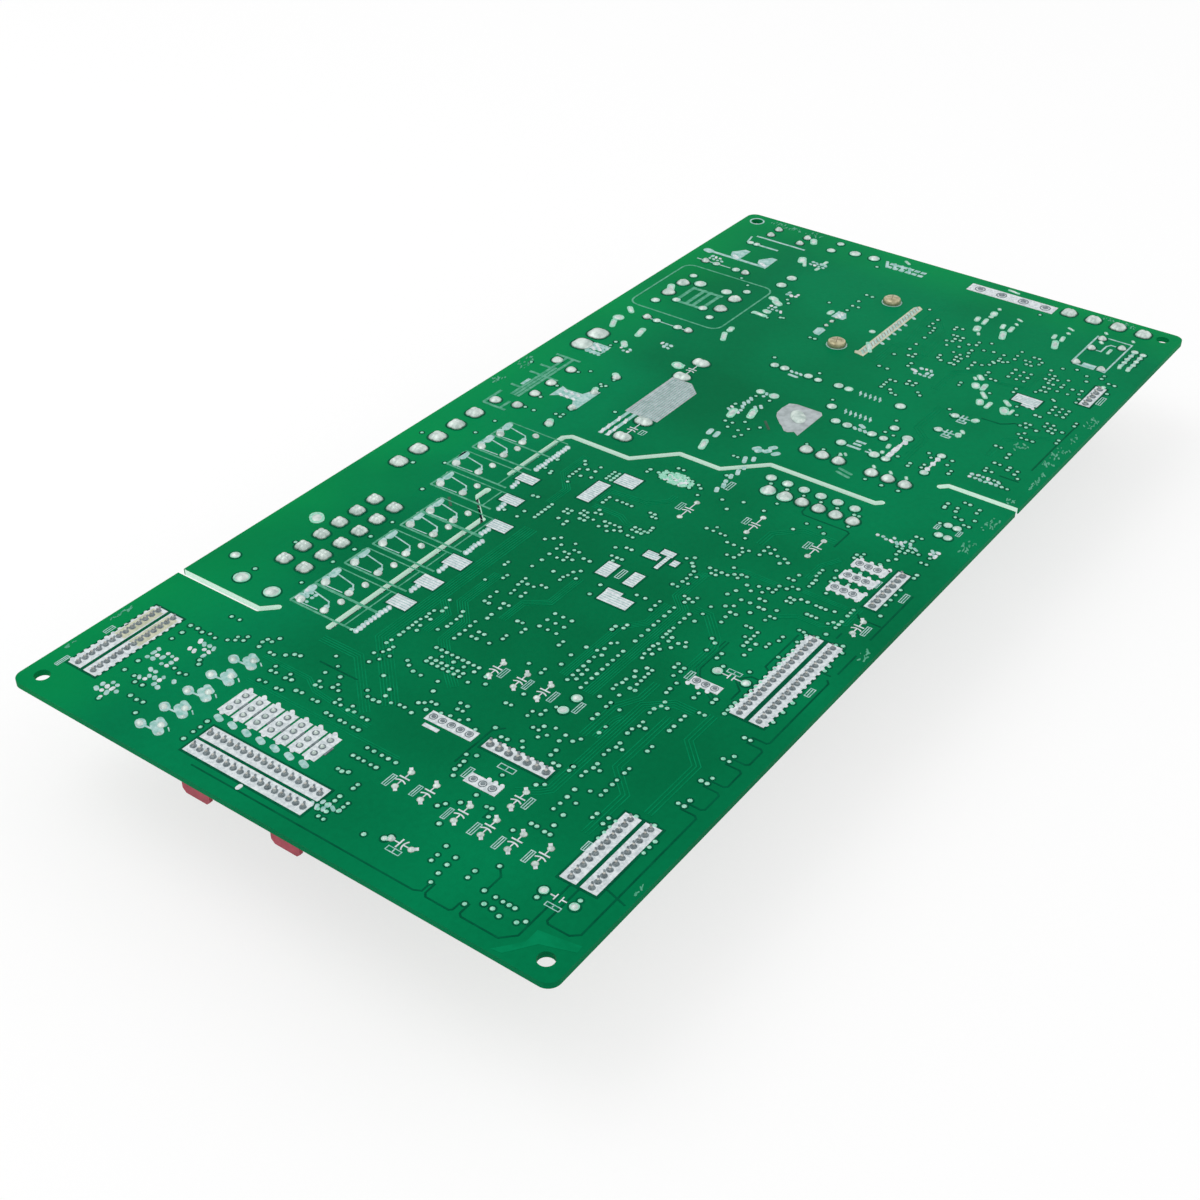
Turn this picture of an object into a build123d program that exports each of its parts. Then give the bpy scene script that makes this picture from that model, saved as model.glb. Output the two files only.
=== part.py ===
"""Refrigerator control board, lying on its tallest parts with the solder side up.

X runs along the board, Y across it and Z up. The origin is at the middle of the board's outline,
on the surface that the tallest parts stand on. Millimetres throughout.
"""

from build123d import *
from dataclasses import dataclass
from math import atan2, degrees, hypot
import os

# ---- Bare board ----
board_length = 312.0
board_width = 152.0
board_thickness = 1.6
corner_radius = 3.0
mount_hole_diameter = 3.8
mount_hole_inset = 5.0
isolation_slot_width = 1.8
relief_slot_width = 0.8
slot_jog = 3.2  # where a slot turns off at 45 degrees
lead_clearance = 0.1  # round every lead in its hole, on each side

# ---- Height under the board ----
tall_part_height = 30.0  # capacitors, transformer and heatsink all reach this far
fit_gap = 0.2  # between parts that slide together on assembly

# ---- Two-row wire headers, 2.0 mm pitch ----
fine_pitch = 2.0
fine_row_gap = 5.0
fine_pin = 0.5
fine_shroud_height = 7.6
fine_shroud_wall = 0.9
fine_shroud_end = 2.4  # from the last pin to the outside of the end wall
fine_shroud_side = 2.7  # from a pin row to the outside of the side wall
fine_floor = 1.8
fine_pin_reach = 6.4
keyway_width = 2.2
keyway_depth = 3.6
latch_tab_width = 8.3
latch_tab_thickness = 0.9
latch_tab_reach = 9.3  # below the board
latch_tab_spacing = 26.4
latch_tab_bevel = 1.0

# ---- One-row wire headers, 2.5 mm pitch ----
wire_pitch = 2.5
wire_pin = 0.64
wire_base_height = 3.4
wire_base_width = 5.8
wire_wall_height = 8.5
wire_wall = 1.0
wire_end = 2.4
wire_pin_reach = 9.6
lock_window = 2.6

# ---- Power connectors ----
power_pitch = 7.92
load_pitch = 6.57
load_row_gap = 6.7
power_pin = 1.14
power_base_height = 4.0
power_base_width = 9.6
power_wall_height = 11.5
power_wall = 1.4
power_end = 3.6  # from the last pin to the end of the base
power_pin_reach = 12.8

lead_stub = 0.9  # lead left standing above the solder side
round_lead = 0.8

# ---- Relays ----
relay_width = 7.2
relay_length = 20.4
relay_height = 15.3
relay_chamfer = 0.6
heater_relay_size = (22.0, 11.0, 16.0)
inrush_relay_size = (13.0, 20.0, 15.8)

# ---- Switching transformer ----
transformer_pin_pitch = 4.95
transformer_rail_gap = 23.1  # between the two pin columns
transformer_pin = 0.8
core_height = 28.0
core_width = 30.0
core_depth = 11.0
core_back = 4.5
core_outer_leg = 5.0
core_centre_leg = 9.0
bobbin_wall = 0.9
rail_width = 4.6
rail_overhang = 1.8
winding_margin = 0.5
winding_radius = 3.0

# ---- Line filter choke ----
choke_pin = 0.9
choke_pin_spread = 8.1
choke_row_gap = 19.2
choke_plate = 2.0
choke_core_length = 30.0
choke_core_width = 27.6
choke_core_limb = 6.0
choke_core_thickness = 6.5
choke_winding_width = 11.6
choke_winding_height = 16.0
choke_winding_bevel = 2.6
choke_flange = 1.2

# ---- Capacitors ----
bulk_can_diameter = 22.0
bulk_lead_pitch = 10.0
bulk_terminal_width = 1.6
bulk_terminal_thickness = 0.8
bulk_rim = 1.0
x_cap_length = 18.0
x_cap_thickness = 8.4
x_cap_height = 15.0
x_cap_chamfer = 0.5
can_diameter = 8.0
can_height = 11.5
film_cap_length = 7.2
film_cap_thickness = 3.0
film_cap_height = 6.5
film_cap_column_pitch = 6.95

# ---- Discs, fuse and bridge ----
disc_standoff = 2.0
varistor_diameter = 13.6
varistor_thickness = 4.4
varistor_lead_pitch = 8.0
thermistor_diameter = 13.0
thermistor_thickness = 5.4
thermistor_lead_pitch = 9.5
y_cap_length = 11.5
y_cap_thickness = 4.4
y_cap_height = 9.5
fuse_diameter = 5.2
fuse_length = 20.0
fuse_lead_pitch = 28.8
fuse_standoff = 1.0
bridge_width = 36.0
bridge_thickness = 4.6
bridge_height = 20.0
bridge_standoff = 3.0
bridge_lead_pitch = 10.65
bridge_lead = 1.0
bridge_corner = 3.0

# ---- Inverter module and heatsink ----
module_length = 38.8
module_width = 14.6
module_thickness = 3.6
module_row_gap = 17.1
module_signal_pitch = 2.2
module_power_pitch = 4.2
module_lead = 0.6
screw_spacing = 34.2
screw_diameter = 3.0
screw_head_diameter = 5.6
screw_head_height = 1.8
screw_clearance = 0.2
tapped_clearance = 0.1
heatsink_length = 54.0
heatsink_base = 5.0
fin_count = 9
fin_thickness = 1.6
fin_gap = 3.4

# ---- Small semiconductors ----
transistor_width = 4.8
transistor_thickness = 3.6
transistor_height = 4.8
transistor_standoff = 1.6
transistor_lead = 0.5
transistor_lead_pitch = 1.27
transistor_row_pitch = 4.22
controller_side = 14.0
controller_corner = 0.8
controller_thickness = 1.5
driver_width = 6.4
driver_length = 19.3
driver_thickness = 3.4

underside = tall_part_height
board_top = underside + board_thickness
half_length = board_length / 2
half_width = board_width / 2


def from_left(distance):
    return distance - half_length


def from_right(distance):
    return half_length - distance


def from_far(distance):
    return half_width - distance


def from_near(distance):
    return distance - half_width


@dataclass
class Connector:
    """A connector's pins: its middle, pins in a row, pitch, gap between two rows (0 for one row)."""

    x: float
    y: float
    pins_per_row: int
    pitch: float
    row_gap: float = 0.0
    along_y: bool = False

    def plane(self, height):
        """A level plane over the connector's middle, with its own X along the pin rows."""
        return Plane(origin=(self.x, self.y, height), x_dir=(0, 1, 0) if self.along_y else (1, 0, 0))

    def row_length(self):
        return (self.pins_per_row - 1) * self.pitch

    def pin_places(self):
        """Pin centres in the connector's own plane."""
        rows = (-self.row_gap / 2, self.row_gap / 2) if self.row_gap else (0.0,)
        start = -self.row_length() / 2
        return [(start + i * self.pitch, row) for row in rows for i in range(self.pins_per_row)]


# ---- Where the connectors stand ----
latching_header = Connector(from_left(10.6), 9.9, 17, fine_pitch, fine_row_gap, along_y=True)
sensor_header = Connector(from_left(24.8), from_far(10.5), 13, fine_pitch, fine_row_gap)
display_header = Connector(from_left(34.6), from_near(11.4), 11, fine_pitch, fine_row_gap)
main_header = Connector(-53.9, from_near(11.6), 17, fine_pitch, fine_row_gap)
fine_headers = {
    "latching_header": latching_header,
    "sensor_header": sensor_header,
    "display_header": display_header,
    "main_header": main_header,
}

service_header = Connector(from_left(45.8), -32.2, 7, wire_pitch, along_y=True)
fan_header = Connector(-10.7, from_near(9.8), 7, wire_pitch)
damper_header = Connector(from_right(49.7), from_near(8.0), 5, wire_pitch)
wire_headers = {
    "service_header": service_header,
    "fan_header": fan_header,
    "damper_header": damper_header,
}

load_connector = Connector(-69.7, from_far(20.0), 6, load_pitch, load_row_gap)
valve_connector = Connector(-19.8, from_far(9.4), 5, power_pitch)
mains_connector = Connector(50.2, from_far(9.4), 2, power_pitch)
compressor_connector = Connector(from_right(5.6), from_near(22.7), 4, power_pitch, along_y=True)
power_connectors = {
    "load_connector": load_connector,
    "valve_connector": valve_connector,
    "mains_connector": mains_connector,
    "compressor_connector": compressor_connector,
}

# ---- Where the other parts stand ----
relay_row_y = from_far(40.3)
relay_xs = (-93.3, -84.8, -74.5, -64.3, -53.9, -46.2, -34.8, -24.6, -14.0, -5.9)
relay_offsets = (0, 0, 0, 0, 0, 0, 6.3, 9.4, 9.4, 9.4)  # off the row, towards the far edge
relay_slot_back = 4.3  # from the row to the slot under it
relay_slot_front = 3.3
heater_relay_place = (from_right(24.4), from_near(16.0))
inrush_relay_place = (from_right(9.1), from_far(20.0))
transformer_place = (22.2, -32.3)
choke_place = (93.7, from_far(20.7))
bulk_capacitor_places = ((14.9, from_far(49.8)), (52.1, from_far(44.3)))
x_capacitor_places = ((71.8, from_far(22.5)), (115.2, from_far(15.3)))
y_capacitor_places = ((58.6, from_far(19.0)), (67.7, from_far(7.7)))
fuse_place = (19.5, from_far(9.5))
varistor_place = (10.5, from_far(16.2))
thermistor_place = (26.8, from_far(16.2))
bridge_place = (19.6, from_far(29.4))
module_place = (107.7, 5.8)
controller_place = (-70.0, from_far(75.0))
driver_places = ((-87.0, from_far(58.6)), (-58.0, from_far(58.6)), (-18.0, from_far(52.0)))
transistor_row = (from_left(24.1), 28.9)
transistor_count = 7
lone_transistors = (
    (from_left(35.5), -31.5),
    (-65.8, from_near(25.2)),
    (-16.6, from_near(18.2)),
    (-10.4, from_near(18.2)),
    (-4.4, from_near(18.2)),
)
can_places = (
    (69.0, 12.3),
    (69.0, 1.1),
    (69.0, -8.6),
    (51.4, -18.3),
    (51.4, -29.4),
    (64.4, -44.0),
    (74.2, -44.0),
    (-9.0, -8.0),
    (-5.2, -25.4),
    (-5.2, -42.8),
)
film_cap_row = (from_left(21.3), 38.4)
film_cap_row_pitch = 6.95
film_cap_row_count = 5
outer_film_cap_column = (from_left(26.3), from_near(42.6))
inner_film_cap_column = (from_left(66.9), -9.8)
film_cap_column_count = 4
lone_film_caps = (
    (from_left(26.3), from_near(59.0)),
    (from_left(26.3), from_near(52.0)),
    (from_left(36.4), -40.0),
    (from_left(11.7), -29.3),
    (-27.2, from_near(8.7)),
    (117.6, from_far(36.5)),
)

# ---- Where the slots run ----
corner_slot_x = from_left(51.4)
corner_slot_end = from_far(26.2)
coil_slot_ends = (-99.9, -44.0)
contact_slot_ends = (-36.0, -32.4)
mains_slot_start = -22.8
mains_slot_turn = (0.2, 1.9)
mains_slot_step = (from_far(57.6), from_far(67.2))
mains_slot_offset = 10.3  # from the transformer's middle to the slot's last straight run above it
core_slot_offset = 0.6
core_slot_reach = (18.6, 12.8)
near_slot_x = 40.2
near_slot_end = from_near(19.4)


def level(x, y, height):
    """A level plane with its origin at a place on the board."""
    return Plane(origin=(x, y, height))


def relay_places():
    """Middles of the slim relays, from left to right."""
    return [(x, relay_row_y + offset) for x, offset in zip(relay_xs, relay_offsets)]


def transformer_leads():
    """Six pins on the cold side, and seven less the middle one on the mains side."""
    half_gap = transformer_rail_gap / 2
    cold = [(-half_gap, (i - 2.5) * transformer_pin_pitch) for i in range(6)]
    mains = [(half_gap, (i - 3) * transformer_pin_pitch) for i in range(7) if i != 3]
    return cold + mains


def choke_leads():
    half_x = choke_pin_spread / 2
    half_y = choke_row_gap / 2
    return [(-half_x, -half_y), (half_x, -half_y), (-half_x, half_y), (half_x, half_y)]


def bridge_leads():
    return [((i - 1.5) * bridge_lead_pitch, 0.0) for i in range(4)]


def module_leads():
    """Signal leads along the near side and power leads along the far side."""
    signal = [((i - 7.5) * module_signal_pitch, -module_row_gap / 2) for i in range(16)]
    power = [((i - 3.5) * module_power_pitch, module_row_gap / 2) for i in range(8)]
    return signal + power


def pair(pitch):
    """Two leads along X."""
    return [(-pitch / 2, 0.0), (pitch / 2, 0.0)]


# ---- Bare board ----


def routed_slot(points, width):
    """A slot milled with a round cutter through a run of points, cut from the sketch in use."""
    for (x0, y0), (x1, y1) in zip(points, points[1:]):
        length = hypot(x1 - x0, y1 - y0)
        turn = degrees(atan2(y1 - y0, x1 - x0))
        with Locations(((x0 + x1) / 2, (y0 + y1) / 2)):
            SlotCenterToCenter(length, width, rotation=turn, mode=Mode.SUBTRACT)


def lead_holes(plane, places, width, depth):
    """Clearance holes for rectangular leads, cut through the board in use."""
    with BuildSketch(plane) as holes:
        with Locations(*places):
            Rectangle(width + 2 * lead_clearance, depth + 2 * lead_clearance)
    extrude(holes.sketch, amount=board_thickness, mode=Mode.SUBTRACT)


def board_slots():
    """The milled slots that keep the mains side and the low-voltage side apart."""
    beyond = isolation_slot_width
    coil_slot_y = relay_row_y - relay_slot_back
    contact_slot_y = relay_row_y + relay_slot_front
    core_x, core_y = transformer_place
    corner_slot = [
        (corner_slot_x, half_width + beyond),
        (corner_slot_x, corner_slot_end),
        (corner_slot_x + slot_jog, corner_slot_end - slot_jog),
    ]
    coil_slot = [(x, coil_slot_y) for x in coil_slot_ends]
    relief_slot = [coil_slot[-1], (contact_slot_ends[0] - relief_slot_width, contact_slot_y)]
    contact_slot = [(x, contact_slot_y) for x in contact_slot_ends]
    turn_start, turn_end = mains_slot_turn
    step_top, step_bottom = mains_slot_step
    reach_up, reach_down = core_slot_reach
    mains_slot = [
        (mains_slot_start, contact_slot_y),
        (turn_start, contact_slot_y),
        (turn_end, contact_slot_y - (turn_end - turn_start)),
        (turn_end, step_top),
        (core_x - mains_slot_offset, step_bottom),
        (core_x - mains_slot_offset, core_y + reach_up + mains_slot_offset - core_slot_offset),
        (core_x - core_slot_offset, core_y + reach_up),
        (core_x - core_slot_offset, core_y - reach_down),
        (core_x + core_slot_offset, core_y - reach_down - 2 * core_slot_offset),
    ]
    near_slot = [
        (near_slot_x - slot_jog / 2, near_slot_end + slot_jog / 2),
        (near_slot_x, near_slot_end),
        (near_slot_x, -half_width - beyond),
    ]
    for route in (corner_slot, coil_slot, contact_slot, mains_slot, near_slot):
        routed_slot(route, isolation_slot_width)
    routed_slot(relief_slot, relief_slot_width)


def board_holes():
    """A hole for every lead that goes through, and for the screws of the power module."""
    for header in fine_headers.values():
        # the webs between holes this close are too thin to keep, so each row has one slit
        rows = [(0, -header.row_gap / 2), (0, header.row_gap / 2)]
        lead_holes(header.plane(underside), rows, header.row_length() + fine_pin, fine_pin)
    for header in wire_headers.values():
        lead_holes(header.plane(underside), header.pin_places(), wire_pin, wire_pin)
    for connector in power_connectors.values():
        lead_holes(connector.plane(underside), connector.pin_places(), power_pin, power_pin)
    lead_holes(
        level(*transformer_place, underside), transformer_leads(), transformer_pin, transformer_pin
    )
    lead_holes(level(*choke_place, underside), choke_leads(), choke_pin, choke_pin)
    for place in bulk_capacitor_places:
        lead_holes(
            level(*place, underside),
            pair(bulk_lead_pitch),
            bulk_terminal_thickness,
            bulk_terminal_width,
        )
    with BuildSketch(level(*module_place, underside)) as screw_holes:
        with Locations(*pair(screw_spacing)):
            Circle(screw_diameter / 2 + screw_clearance)
    extrude(screw_holes.sketch, amount=board_thickness, mode=Mode.SUBTRACT)


def make_circuit_board():
    with BuildPart() as circuit_board:
        with BuildSketch(Plane.XY.offset(underside)):
            Rectangle(board_length, board_width)
            fillet(vertices(), corner_radius)
            hole_span_x = board_length - 2 * mount_hole_inset
            hole_span_y = board_width - 2 * mount_hole_inset
            with GridLocations(hole_span_x, hole_span_y, 2, 2):
                Circle(mount_hole_diameter / 2, mode=Mode.SUBTRACT)
            board_slots()
        extrude(amount=board_thickness)
        board_holes()
    return circuit_board


# ---- Connectors ----


def make_pins(connector, width, reach):
    """Straight square pins, from just above the solder side down to `reach` under the board."""
    with BuildPart() as pins:
        with BuildSketch(connector.plane(underside - reach)):
            with Locations(*connector.pin_places()):
                Rectangle(width, width)
        extrude(amount=reach + board_thickness + lead_stub)
    return pins


def make_shroud(header, latched):
    """An open box round two rows of pins, with keyways, and with latch tabs if it locks."""
    length = header.row_length() + 2 * fine_shroud_end
    width = header.row_gap + 2 * fine_shroud_side
    rim = underside - fine_shroud_height
    with BuildPart() as shroud:
        with BuildSketch(header.plane(rim)):
            Rectangle(length, width)
            Rectangle(length - 2 * fine_shroud_wall, width - 2 * fine_shroud_wall, mode=Mode.SUBTRACT)
        extrude(amount=fine_shroud_height)
        with BuildSketch(header.plane(underside - fine_floor)):
            Rectangle(length, width)
            with GridLocations(1, header.row_gap, 1, 2):
                Rectangle(header.row_length() + fine_pin, fine_pin, mode=Mode.SUBTRACT)
        extrude(amount=fine_floor)
        with BuildSketch(header.plane(rim)):
            with Locations((0, -width / 2), (length / 4, -width / 2)):
                Rectangle(keyway_width, 3 * fine_shroud_wall)
        extrude(amount=keyway_depth, mode=Mode.SUBTRACT)
        if latched:
            with BuildSketch(header.plane(underside - latch_tab_reach)):
                with Locations((0, width / 2 + latch_tab_thickness / 2)):
                    with GridLocations(latch_tab_spacing, 1, 2, 1):
                        Rectangle(latch_tab_width, latch_tab_thickness)
            extrude(amount=latch_tab_reach)
            through_tab = Axis((0, 0, 0), header.plane(0).y_dir)
            tab_corners = shroud.edges().filter_by(through_tab).group_by(Axis.Z)[0]
            chamfer(tab_corners, latch_tab_bevel)
    return shroud


def make_wall_header(connector, pin, base_width, base_height, wall_height, wall, end):
    """A low base, slit along each pin row, with a friction-lock wall along one side."""
    length = connector.row_length() + 2 * end
    depth = connector.row_gap + base_width
    rows = 2 if connector.row_gap else 1
    with BuildPart() as housing:
        with BuildSketch(connector.plane(underside - base_height)):
            Rectangle(length, depth)
            with GridLocations(1, connector.row_gap or 1, 1, rows):
                Rectangle(connector.row_length() + pin, pin, mode=Mode.SUBTRACT)
        extrude(amount=base_height)
        with BuildSketch(connector.plane(underside - wall_height)):
            with Locations((0, (depth - wall) / 2)):
                Rectangle(length, wall)
                with GridLocations(length - lock_window - 2 * end, 1, 2, 1):
                    Rectangle(lock_window, wall, mode=Mode.SUBTRACT)
        extrude(amount=wall_height - base_height)
    return housing


# ---- Relays ----


def make_relay(place, width, length, height):
    """A sealed relay case, flat against the board."""
    with BuildPart() as relay:
        with BuildSketch(level(*place, underside - height)):
            Rectangle(width, length)
            chamfer(vertices(), relay_chamfer)
        extrude(amount=height)
    return relay


# ---- Switching transformer ----


def make_transformer_core():
    """Two E-shaped ferrite halves, meeting across all three legs half way up."""
    window = (core_width - core_centre_leg) / 2 - core_outer_leg
    half_height = core_height / 2
    x, y = transformer_place
    with BuildPart() as core:
        with BuildSketch(Plane.YZ.offset(x - core_depth / 2)):
            with Locations((y, half_height)):
                Rectangle(core_width, core_height)
                with GridLocations(core_centre_leg + window, 1, 2, 1):
                    Rectangle(window, core_height - 2 * core_back, mode=Mode.SUBTRACT)
        extrude(amount=core_depth)
        split(bisect_by=Plane.XY.offset(half_height), keep=Keep.BOTH)
    return core


def make_transformer_bobbin():
    """A tube round the centre leg, two flanges, and a rail of pins along either side."""
    window = (core_width - core_centre_leg) / 2 - core_outer_leg
    tube_x = core_depth + 2 * fit_gap
    tube_y = core_centre_leg + 2 * fit_gap
    flange_y = core_centre_leg + 2 * window - 2 * fit_gap
    top = core_height - core_back
    rail_length = 6 * transformer_pin_pitch + 2 * rail_overhang
    with BuildPart() as bobbin:
        with BuildSketch(level(*transformer_place, core_back)):
            Rectangle(tube_x + 2 * bobbin_wall, tube_y + 2 * bobbin_wall)
        extrude(amount=top - core_back)
        with BuildSketch(level(*transformer_place, core_back)):
            Rectangle(transformer_rail_gap - rail_width, flange_y)
        extrude(amount=bobbin_wall)
        with BuildSketch(level(*transformer_place, top - bobbin_wall)):
            Rectangle(transformer_rail_gap, flange_y)
        extrude(amount=bobbin_wall)
        with BuildSketch(level(*transformer_place, top - bobbin_wall)):
            with GridLocations(transformer_rail_gap, 1, 2, 1):
                Rectangle(rail_width, rail_length)
        extrude(amount=underside - top + bobbin_wall)
        with BuildSketch(level(*transformer_place, core_back)):
            Rectangle(tube_x, tube_y)
        extrude(amount=top - core_back, mode=Mode.SUBTRACT)
        with BuildSketch(level(*transformer_place, underside)):
            with Locations(*transformer_leads()):
                Rectangle(transformer_pin, transformer_pin)
        extrude(amount=board_thickness + lead_stub)
    return bobbin


def make_transformer_winding():
    """Taped wire filling the space between the flanges."""
    window = (core_width - core_centre_leg) / 2 - core_outer_leg
    tube_x = core_depth + 2 * fit_gap + 2 * bobbin_wall
    tube_y = core_centre_leg + 2 * fit_gap + 2 * bobbin_wall
    bottom = core_back + bobbin_wall
    top = core_height - core_back - bobbin_wall
    with BuildPart() as winding:
        with BuildSketch(level(*transformer_place, bottom)):
            Rectangle(
                transformer_rail_gap - rail_width - 2 * winding_margin,
                core_centre_leg + 2 * window - 2 * winding_margin,
            )
            fillet(vertices(), winding_radius)
            Rectangle(tube_x, tube_y, mode=Mode.SUBTRACT)
        extrude(amount=top - bottom)
    return winding


# ---- Line filter choke ----

choke_axis = underside - choke_plate - choke_winding_height / 2
choke_limb_x = (choke_core_width - choke_core_limb) / 2
choke_window_length = choke_core_length - 2 * choke_core_limb


def make_choke_core():
    """A rectangular ferrite ring lying flat."""
    with BuildPart() as core:
        with BuildSketch(level(*choke_place, choke_axis - choke_core_thickness / 2)):
            Rectangle(choke_core_width, choke_core_length)
            Rectangle(
                choke_core_width - 2 * choke_core_limb, choke_window_length, mode=Mode.SUBTRACT
            )
        extrude(amount=choke_core_thickness)
    return core


def make_choke_base():
    """A plate against the board with its pins, and a flange at each end of both windings."""
    with BuildPart() as base:
        with BuildSketch(level(*choke_place, underside - choke_plate)):
            Rectangle(choke_core_width, choke_core_length)
        extrude(amount=choke_plate)
        with BuildSketch(level(*choke_place, underside - choke_plate - choke_winding_height)):
            with GridLocations(2 * choke_limb_x, choke_window_length - choke_flange, 2, 2):
                Rectangle(choke_winding_width, choke_flange)
        extrude(amount=choke_winding_height)
        with BuildSketch(level(*choke_place, choke_axis - choke_core_thickness / 2)):
            with GridLocations(2 * choke_limb_x, 1, 2, 1):
                Rectangle(choke_core_limb, choke_window_length)
        extrude(amount=choke_core_thickness, mode=Mode.SUBTRACT)
        with BuildSketch(level(*choke_place, underside)):
            with Locations(*choke_leads()):
                Rectangle(choke_pin, choke_pin)
        extrude(amount=board_thickness + lead_stub)
    return base


def make_choke_windings():
    """A coil on either limb of the core."""
    x, y = choke_place
    length = choke_window_length - 2 * choke_flange
    with BuildPart() as windings:
        with BuildSketch(Plane.XZ.offset(-y - length / 2)):
            with Locations((x, choke_axis)):
                with GridLocations(2 * choke_limb_x, 1, 2, 1):
                    Rectangle(
                        choke_winding_width - winding_margin, choke_winding_height - winding_margin
                    )
                chamfer(vertices(), choke_winding_bevel)
                with GridLocations(2 * choke_limb_x, 1, 2, 1):
                    Rectangle(choke_core_limb, choke_core_thickness, mode=Mode.SUBTRACT)
        extrude(amount=length)
    return windings


# ---- Capacitors, discs and fuse ----


def make_bulk_capacitor(place):
    """A snap-in can with a bevelled end and two flat terminals."""
    radius = bulk_can_diameter / 2
    with BuildPart() as capacitor:
        with BuildSketch(Plane(origin=(*place, 0), x_dir=(1, 0, 0), z_dir=(0, -1, 0))):
            with BuildLine():
                Polyline(
                    (0, 0),
                    (radius - bulk_rim, 0),
                    (radius, bulk_rim),
                    (radius, underside),
                    (0, underside),
                    close=True,
                )
            make_face()
        revolve(axis=Axis((*place, 0), (0, 0, 1)))
        with BuildSketch(level(*place, underside)):
            with Locations(*pair(bulk_lead_pitch)):
                Rectangle(bulk_terminal_thickness, bulk_terminal_width)
        extrude(amount=board_thickness + lead_stub)
    return capacitor


def make_x_capacitor(place):
    """A potted box, flat against the board."""
    with BuildPart() as capacitor:
        with BuildSketch(level(*place, underside - x_cap_height)):
            Rectangle(x_cap_thickness, x_cap_length)
            chamfer(vertices(), x_cap_chamfer)
        extrude(amount=x_cap_height)
    return capacitor


def make_disc(place, diameter, thickness, lead_pitch):
    """A coated disc on edge under the board, with a lead near either side."""
    x, y = place
    centre_height = underside - disc_standoff - diameter / 2
    facing = Plane(origin=(x, y, centre_height), x_dir=(1, 0, 0), z_dir=(0, -1, 0))
    with BuildPart() as disc:
        with BuildSketch(facing):
            Circle(diameter / 2)
        extrude(amount=thickness / 2, both=True)
        with BuildSketch(level(x, y, centre_height)):
            with Locations(*pair(lead_pitch)):
                Rectangle(round_lead, round_lead)
        extrude(amount=underside - centre_height)
    return disc


def make_y_capacitors():
    with BuildPart() as capacitors:
        with BuildSketch(Plane.XY.offset(underside - y_cap_height)):
            with Locations(*y_capacitor_places):
                Rectangle(y_cap_length, y_cap_thickness)
        extrude(amount=y_cap_height)
    return capacitors


def make_fuse():
    """A cartridge lying along X, with a bent lead at each end."""
    x, y = fuse_place
    axis_height = underside - fuse_standoff - fuse_diameter / 2
    middle = Plane(origin=(x, y, axis_height), x_dir=(0, 1, 0), z_dir=(1, 0, 0))
    with BuildPart() as fuse:
        with BuildSketch(middle):
            Circle(fuse_diameter / 2)
        extrude(amount=fuse_length / 2, both=True)
        with BuildSketch(middle):
            Rectangle(round_lead, round_lead)
        extrude(amount=(fuse_lead_pitch + round_lead) / 2, both=True)
        with BuildSketch(level(x, y, axis_height)):
            with Locations(*pair(fuse_lead_pitch)):
                Rectangle(round_lead, round_lead)
        extrude(amount=underside - axis_height)
    return fuse


def make_bridge_rectifier():
    """A flat bridge on edge, one corner cut to mark its first lead."""
    x, y = bridge_place
    with BuildPart() as bridge:
        with BuildSketch(Plane.XZ.offset(-y)):
            with Locations((x, underside - bridge_standoff - bridge_height / 2)):
                Rectangle(bridge_width, bridge_height)
            marked = vertices().group_by(Axis.Y)[0].sort_by(Axis.X)[0]
            chamfer(marked, bridge_corner)
        extrude(amount=bridge_thickness / 2, both=True)
        with BuildSketch(level(x, y, underside - bridge_standoff)):
            with Locations(*bridge_leads()):
                Rectangle(bridge_lead, bridge_lead)
        extrude(amount=bridge_standoff)
    return bridge


# ---- Inverter module, heatsink and screws ----


def make_power_module():
    """A flat moulded block against the board, its leads bent up to it along both long sides."""
    with BuildPart() as module:
        with BuildSketch(level(*module_place, underside - module_thickness)):
            Rectangle(module_length, module_width)
            for side in (-1, 1):
                notch = [(side * screw_spacing / 2, 0), (side * module_length, 0)]
                routed_slot(notch, screw_diameter + 2 * screw_clearance)
        extrude(amount=module_thickness)
        lead_root = underside - module_thickness / 2
        with BuildSketch(level(*module_place, lead_root - module_lead / 2)):
            with Locations(*module_leads()):
                Rectangle(module_lead, module_lead)
        extrude(amount=underside - lead_root + module_lead / 2)
        with BuildSketch(level(*module_place, lead_root - module_lead / 2)):
            for x, y in module_leads():
                inner = module_width / 2 if y > 0 else -module_width / 2
                with Locations((x, (y + inner) / 2)):
                    Rectangle(module_lead, abs(y - inner))
        extrude(amount=module_lead)
    return module


def make_heatsink():
    """An extruded comb under the module, with two tapped holes for its screws."""
    x, y = module_place
    base_top = underside - module_thickness
    fin_pitch = fin_thickness + fin_gap
    width = fin_count * fin_pitch - fin_gap
    with BuildPart() as heatsink:
        with BuildSketch(Plane.YZ.offset(x - heatsink_length / 2)):
            with Locations((y, base_top - heatsink_base / 2)):
                Rectangle(width, heatsink_base)
            with Locations((y, (base_top - heatsink_base) / 2)):
                with GridLocations(fin_pitch, 1, fin_count, 1):
                    Rectangle(fin_thickness, base_top - heatsink_base)
        extrude(amount=heatsink_length)
        with BuildSketch(level(x, y, base_top - heatsink_base)):
            with Locations(*pair(screw_spacing)):
                Circle(screw_diameter / 2 + tapped_clearance)
        extrude(amount=heatsink_base, mode=Mode.SUBTRACT)
    return heatsink


def make_heatsink_screws():
    """Pan-head screws put in from the solder side."""
    reach = board_top - (underside - module_thickness) + heatsink_base
    with BuildPart() as screws:
        with BuildSketch(level(*module_place, board_top)):
            with Locations(*pair(screw_spacing)):
                Circle(screw_head_diameter / 2)
        extrude(amount=screw_head_height)
        with BuildSketch(level(*module_place, board_top - reach)):
            with Locations(*pair(screw_spacing)):
                Circle(screw_diameter / 2)
        extrude(amount=reach)
    return screws


# ---- Small parts ----


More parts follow.
